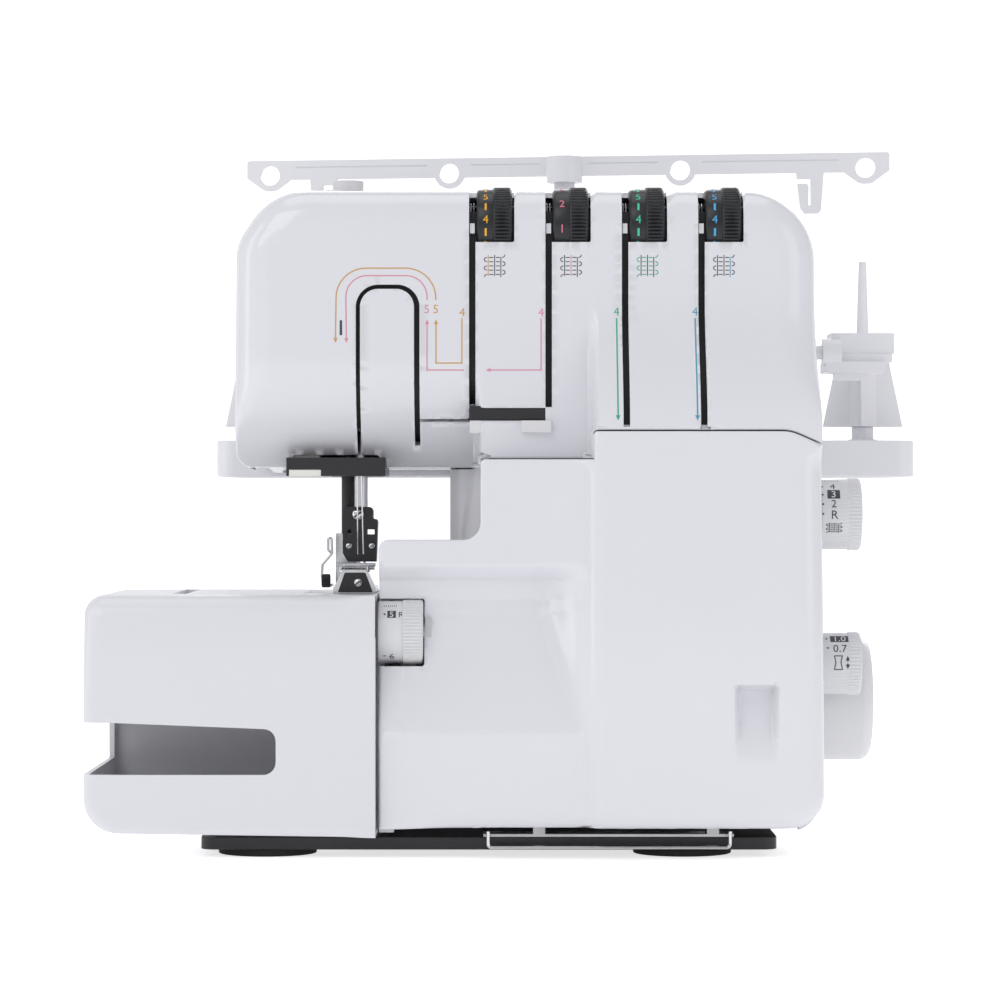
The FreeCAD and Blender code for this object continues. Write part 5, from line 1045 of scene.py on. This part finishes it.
def make_dial_marks():
    """Scales on the white dials: dots on the left, then digits, with the normal setting in a box."""
    centre = np.mean(span("stitch_length_dial"), axis=0)
    place = on_drum(centre, (span("stitch_length_dial")[1][2] - centre[2]) - 0.28)
    x = 126.2 - centre[0]
    dark = [dot(x - 4.4, v) for v in (0.2, 4.2, 8.4, 12.8)]
    dark += [lettering("R", 3.6, x + 0.2, 0), lettering("2", 3.3, x, 4.5), lettering("4", 3.3, x - 0.2,
                                                                                     13.1),
             ribbon([(x - 2.5, 8.7), (x + 2.6, 8.7)], 4.2, 0.04)]
    dark += [ribbon([(x - 4 + 0.9 * k, 17.3), (x - 4 + 0.9 * k, 18.2)], 0.3) for k in range(8)]
    for stroke in sum(stitch_strokes(), []):
        dark.append(ribbon(np.array(stroke) * (0.75, 0.5) + (x + 0.1, -5.6), 0.32))
    mark("stitch_length_scale", dark, place, "grey", "dial_white", "stitch_length")
    mark("stitch_length_normal", [lettering("3", 3.3, x, 8.8, 0.08)], place, "white", "dial_white",
         "stitch_length")

    centre = np.mean(span("differential_feed_dial"), axis=0)
    place = on_drum(centre, (span("differential_feed_dial")[1][2] - centre[2]) - 0.28)
    x = 128.9 - centre[0]
    dark = [dot(x - 5.2, 12.0), dot(x - 4.9, 7.1), ribbon([(x - 3.7, 12.1), (x + 3.7, 12.1)], 3.9, 0.04),
            lettering("0.7", 3.4, x, 7.0)]
    waist = [(x - 2.4, 3.6), (x + 0.8, 3.6), (x + 0.2, 1.0), (x + 0.8, -1.9), (x - 2.4, -1.9), (x - 1.8,
                                                                                                1.0),
             (x - 2.4, 3.6)]
    dark += [ribbon(waist, 0.4)]
    dark += arrow([(x + 3.0, 1.3), (x + 3.0, 3.6)], 0.5, 1.7) + arrow([(x + 3.0, 0.5), (x + 3.0, -1.8)],
                                                                      0.5, 1.7)
    mark("differential_scale", dark, place, "grey", "dial_white", "differential_feed")
    mark("differential_normal", [lettering("1.0", 3.2, x, 12.2, 0.08)], place, "white", "dial_white",
         "differential_feed")

    centre = np.mean(span("stitch_width_dial"), axis=0)
    place = on_drum(centre, WIDTH_DIAL_R - 0.48)
    x = -51.6 - centre[0]
    dark = [dot(x - 2.8, 7.9), ribbon([(x - 1.7, 7.9), (x + 1.7, 7.9)], 3.4, 0.04), lettering("R", 2.7,
                                                                                              x + 3.7, 7.8)]
    dark += [lettering("6", 3.2, x, -10.6), ribbon([(x - 3.4, -10.4), (x - 2.4, -10.4)], 0.5)]
    dark += [ribbon([(x - 3 + 0.8 * k, 12.2), (x - 3 + 0.8 * k, 13.0)], 0.28) for k in range(7)]
    mark("stitch_width_scale", dark, place, "grey", "dial_white", "stitch_width")
    mark("stitch_width_normal", [lettering("5", 2.7, x, 7.9, 0.08)], place, "white", "dial_white",
         "stitch_width")


# ---------------------------------------------------------------- needle area
def wires(paths, radius):
    """Round wires along the paths, with closed ends, as points and faces."""
    points, faces = [], []
    for path in paths:
        curve = bpy.data.curves.new("wire", "CURVE")
        curve.dimensions = "3D"
        curve.bevel_depth = radius
        curve.bevel_resolution = 2
        curve.use_fill_caps = True
        spline = curve.splines.new("POLY")
        spline.points.add(len(path) - 1)
        spline.points.foreach_set("co", np.hstack([path, np.ones((len(path), 1))]).ravel())
        holder = bpy.data.objects.new("wire", curve)
        bpy.context.scene.collection.objects.link(holder)
        graph = bpy.context.evaluated_depsgraph_get()
        mesh = bpy.data.meshes.new_from_object(holder.evaluated_get(graph))
        count = sum(len(part) for part in points)
        points.append(np.array([tuple(vertex.co) for vertex in mesh.vertices]))
        faces += [[i + count for i in face.vertices] for face in mesh.polygons]
        bpy.data.objects.remove(holder)
        bpy.data.curves.remove(curve)
        bpy.data.meshes.remove(mesh)
    return np.concatenate(points), faces


def rounded_path(spots, radius, step=0.8):
    """Three-dimensional path in a plane of constant y: (x, z) corners rounded by radius."""
    flat = arc_points([(x, z, radius) for x, _, z in spots], step, False)
    return np.insert(flat, 1, spots[0][1], axis=1)


def slotted_screw(name, centre, radius, body, slot="chrome", rise=1.0):
    """Round-headed screw that faces the front: a domed disc with a straight slot across it."""
    rings = np.array([0.08, 0.35, 0.6, 0.85, 1.0, 1.0])
    heights = np.array([1.0, 0.95, 0.85, 0.6, 0.25, 0.0]) * rise
    profile = [(-h, r * radius) for h, r in zip(heights, rings)]
    lathe(name, profile, "y", centre, slot, body, sides=32)
    points, faces = ribbon([(-radius * 0.85, 0), (radius * 0.85, 0)], radius * 0.32, 0.05)
    turned = math.radians(35)
    u = points[:, 0] * math.cos(turned) - points[:, 1] * math.sin(turned)
    v = points[:, 0] * math.sin(turned) + points[:, 1] * math.cos(turned)
    laid = np.stack([centre[0] + u, centre[1] - rise - 0.02 - points[:, 2], centre[2] + v], -1)
    build(name + "_slot", laid, faces, slot, body, material=FINISHES["black_metal"])


def plate(name, corners, front, back, slot, body):
    """Flat plate that faces the front, from its (x, z, radius) corners and its two depths."""
    loop = arc_points(corners, 2.0)
    if turning(loop) < 0:
        loop = loop[::-1]
    count = len(loop)
    points = np.concatenate([np.insert(loop, 1, depth, axis=1) for depth in (front, back)])
    sides = [[i, i + count, (i + 1) % count + count, (i + 1) % count] for i in range(count)]
    caps = [list(range(count)), list(range(2 * count - 1, count - 1, -1))]
    outward(build(name, points, sides + caps, slot, body))


def make_needle_details():
    front = span("needle_clamp")[0][1]
    low, high = span("needle_clamp")
    slotted_screw("clamp_screw_top", (NEEDLE_X - 1.0, front + 0.1, high[2] - 3.0), 2.3, "needle_head")
    for side, x in (("left", low[0] + 2.6), ("right", high[0] - 2.4)):
        slotted_screw("clamp_screw_" + side, (x, front + 0.1, low[2] + 6.5), 1.2, "needle_head", rise=0.6)
    strands = [np.linspace((NEEDLE_X + x, -94.5, HEAD_BOTTOM + 4), (NEEDLE_X + x + lean, -90.2,
                                                                    low[2] + 3.2), 12)
               for x, lean in ((-1.2, 0.2), (0.4, 0.9))]
    points, faces = wires(strands, 0.28)
    build("needle_guide_wires", points, faces, "chrome", "machine")
    foot_low = span("presser_foot")[0]
    y = foot_low[1] + 2.5
    bars = [np.array([(-75.0, y, 117.6), (-58.9, y, 117.6)]), np.array([(-74.4, y + 3, 116.2), (-59.4,
                                                                                                y + 3,
                                                                                                116.2)])]
    points, faces = wires(bars, 0.75)
    build("foot_cross_bars", points, faces, "chrome", "presser")
    posts = [np.array([(x, y + 1, 114.6), (x, y + 1, 117.4)]) for x in (-73.2, -62.0)]
    points, faces = wires(posts, 0.7)
    build("foot_posts", points, faces, "chrome", "presser")
    spring = rounded_path([(-77.2, -98.5, 122.4), (-78.3, -98.5, 123.5), (-78.3, -98.5, 128.2), (-76.9,
                                                                                                 -98.5,
                                                                                                 128.6),
                           (-76.7, -98.5, 122.2), (-80.6, -98.5, 117.6), (-80.9, -98.5, 112.8), (-78.4,
                                                                                                 -98.5,
                                                                                                 108.5),
                           (-76.2, -98.5, 109.6)], 0.8)
    points, faces = wires([spring], 0.55)
    build("foot_tongue_spring", points, faces, "steel", "presser")
    lathe("foot_thumb_screw", [(-1.8, 0.3), (-1.8, 2.4), (-1.4, 2.8), (1.4, 2.8), (1.8, 2.4), (1.8, 0.3)],
          "x",
          (-79.2, -98.0, 111.0), "black_metal", "presser", sides=120, shape=knurled(-1.6, 20, 0.5, 1.6),
          corner=30)
    toe = [(-74.2, 106.4, 0.3), (-60.0, 106.4, 0.3), (-63.0, 114.4, 0.8), (-71.4, 114.4, 0.8)]
    plate("foot_toe_face", toe, foot_low[1] - 0.4, foot_low[1] + 0.3, "black_metal", "presser")
    slotted_screw("foot_screw", (NEEDLE_X - 0.4, foot_low[1] - 0.3, 110.3), 1.7, "presser", rise=1.1)




def make_cover_rail():
    """Steel rail under the looper cover: a bent wire whose ends rise behind the cover."""
    low, high = span("hinge_bracket")
    x0, x1, y = low[0] + 2.0, high[0] - 2.0, -119.5
    path = rounded_path([(x0, y, 11.0), (x0, y, 4.6), (x1, y, 4.6), (x1, y, 11.0)], 1.5, 6.0)
    points, faces = wires([path], 0.75)
    build("cover_rail", points, faces, "chrome", "machine")


def make_rounded_copies():
    """Every CAD node that has no piece of its own: its edges rounded, by a width that suits its size; a node
    whose width is 0 keeps its own mesh and only takes its finish.
    """
    widths = {"rear_casing": 1.2, "spool_tray": 1.0, "free_arm_cover": 0.8, "lifter_lever": 0.8,
              "rubber_feet": 0.5,
              "frame_casting": 0.6, "motor_housing": 0.5, "base_plate": 0.4, "head_plate": 0.3,
              "thread_arm": 0.5,
              "cone_holders": 0.3, "spool_pins": 0.3, "lamp": 0.4, "power_panel": 0.5, "handwheel": 0.5,
              "pressure_knob": 0.3, "upper_knife": 0.15, "needles": 0, "drive_belt": 0,
              "timing_belt": 0, "presser_spring": 0, "casing_screws": 0.15, "lower_looper": 0.2,
              "upper_looper": 0.2, "feed_dogs": 0.1, "needle_plate": 0.2}
    replaced = {node for item in bpy.data.objects for node in item.get("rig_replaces", [])}
    for node in frame["nodes"]:
        width = widths.get(node, 0.3)
        if node in replaced:
            continue
        if width == 0:
            frame["nodes"][node].data.materials.clear()
            frame["nodes"][node].data.materials.append(FINISHES[SLOT_OF[node]])
        else:
            softened(node, width)


# ---------------------------------------------------------------- stage
def make_stage():
    """Pale floor that curves up into a backdrop: a flat run, a quarter turn and an upright run."""
    turn = np.linspace(0, math.pi / 2, 16)
    y = np.concatenate([[-3.5], 2.6 + 1.2 * np.sin(turn), [3.8]])
    z = np.concatenate([[0], 1.2 - 1.2 * np.cos(turn), [4.0]])
    x = np.array([-4.0, 4.0])
    points = np.stack([np.repeat(x[:, None], len(y), 1), np.tile(y, (2, 1)), np.tile(z, (2, 1))], -1)
    mesh = bpy.data.meshes.new("floor")
    mesh.from_pydata(points.reshape(-1, 3).tolist(), [], grid_faces(2, len(y)).tolist())
    floor = bpy.data.objects.new("floor", mesh)
    bpy.context.scene.collection.objects.link(floor)
    finish = Finish("studio_floor")
    haze = finish.noise(3.0)
    seen = finish.node("ShaderNodeLightPath")
    finish.set(Base_Color=finish.blend(haze, (0.955, 0.955, 0.965, 1), (0.97, 0.97, 0.975, 1)),
               Roughness=0.9,
               Emission_Color=finish.blend(seen, (0.25, 0.25, 0.25, 1), (0.7, 0.7, 0.7, 1)),
               Emission_Strength=1.0)
    mesh.materials.append(finish.material)
    polish(mesh, 60)


set_camera()
light_studio()
make_front_casing()
make_channel_liner()
make_front_cover()
make_extension_table()
for index in range(4):
    make_tension_dial(index)
make_thread_path_prints()
make_stitch_signs()
make_side_dials()
make_dial_marks()
make_needle_details()
make_cover_rail()
make_rounded_copies()
make_stage()
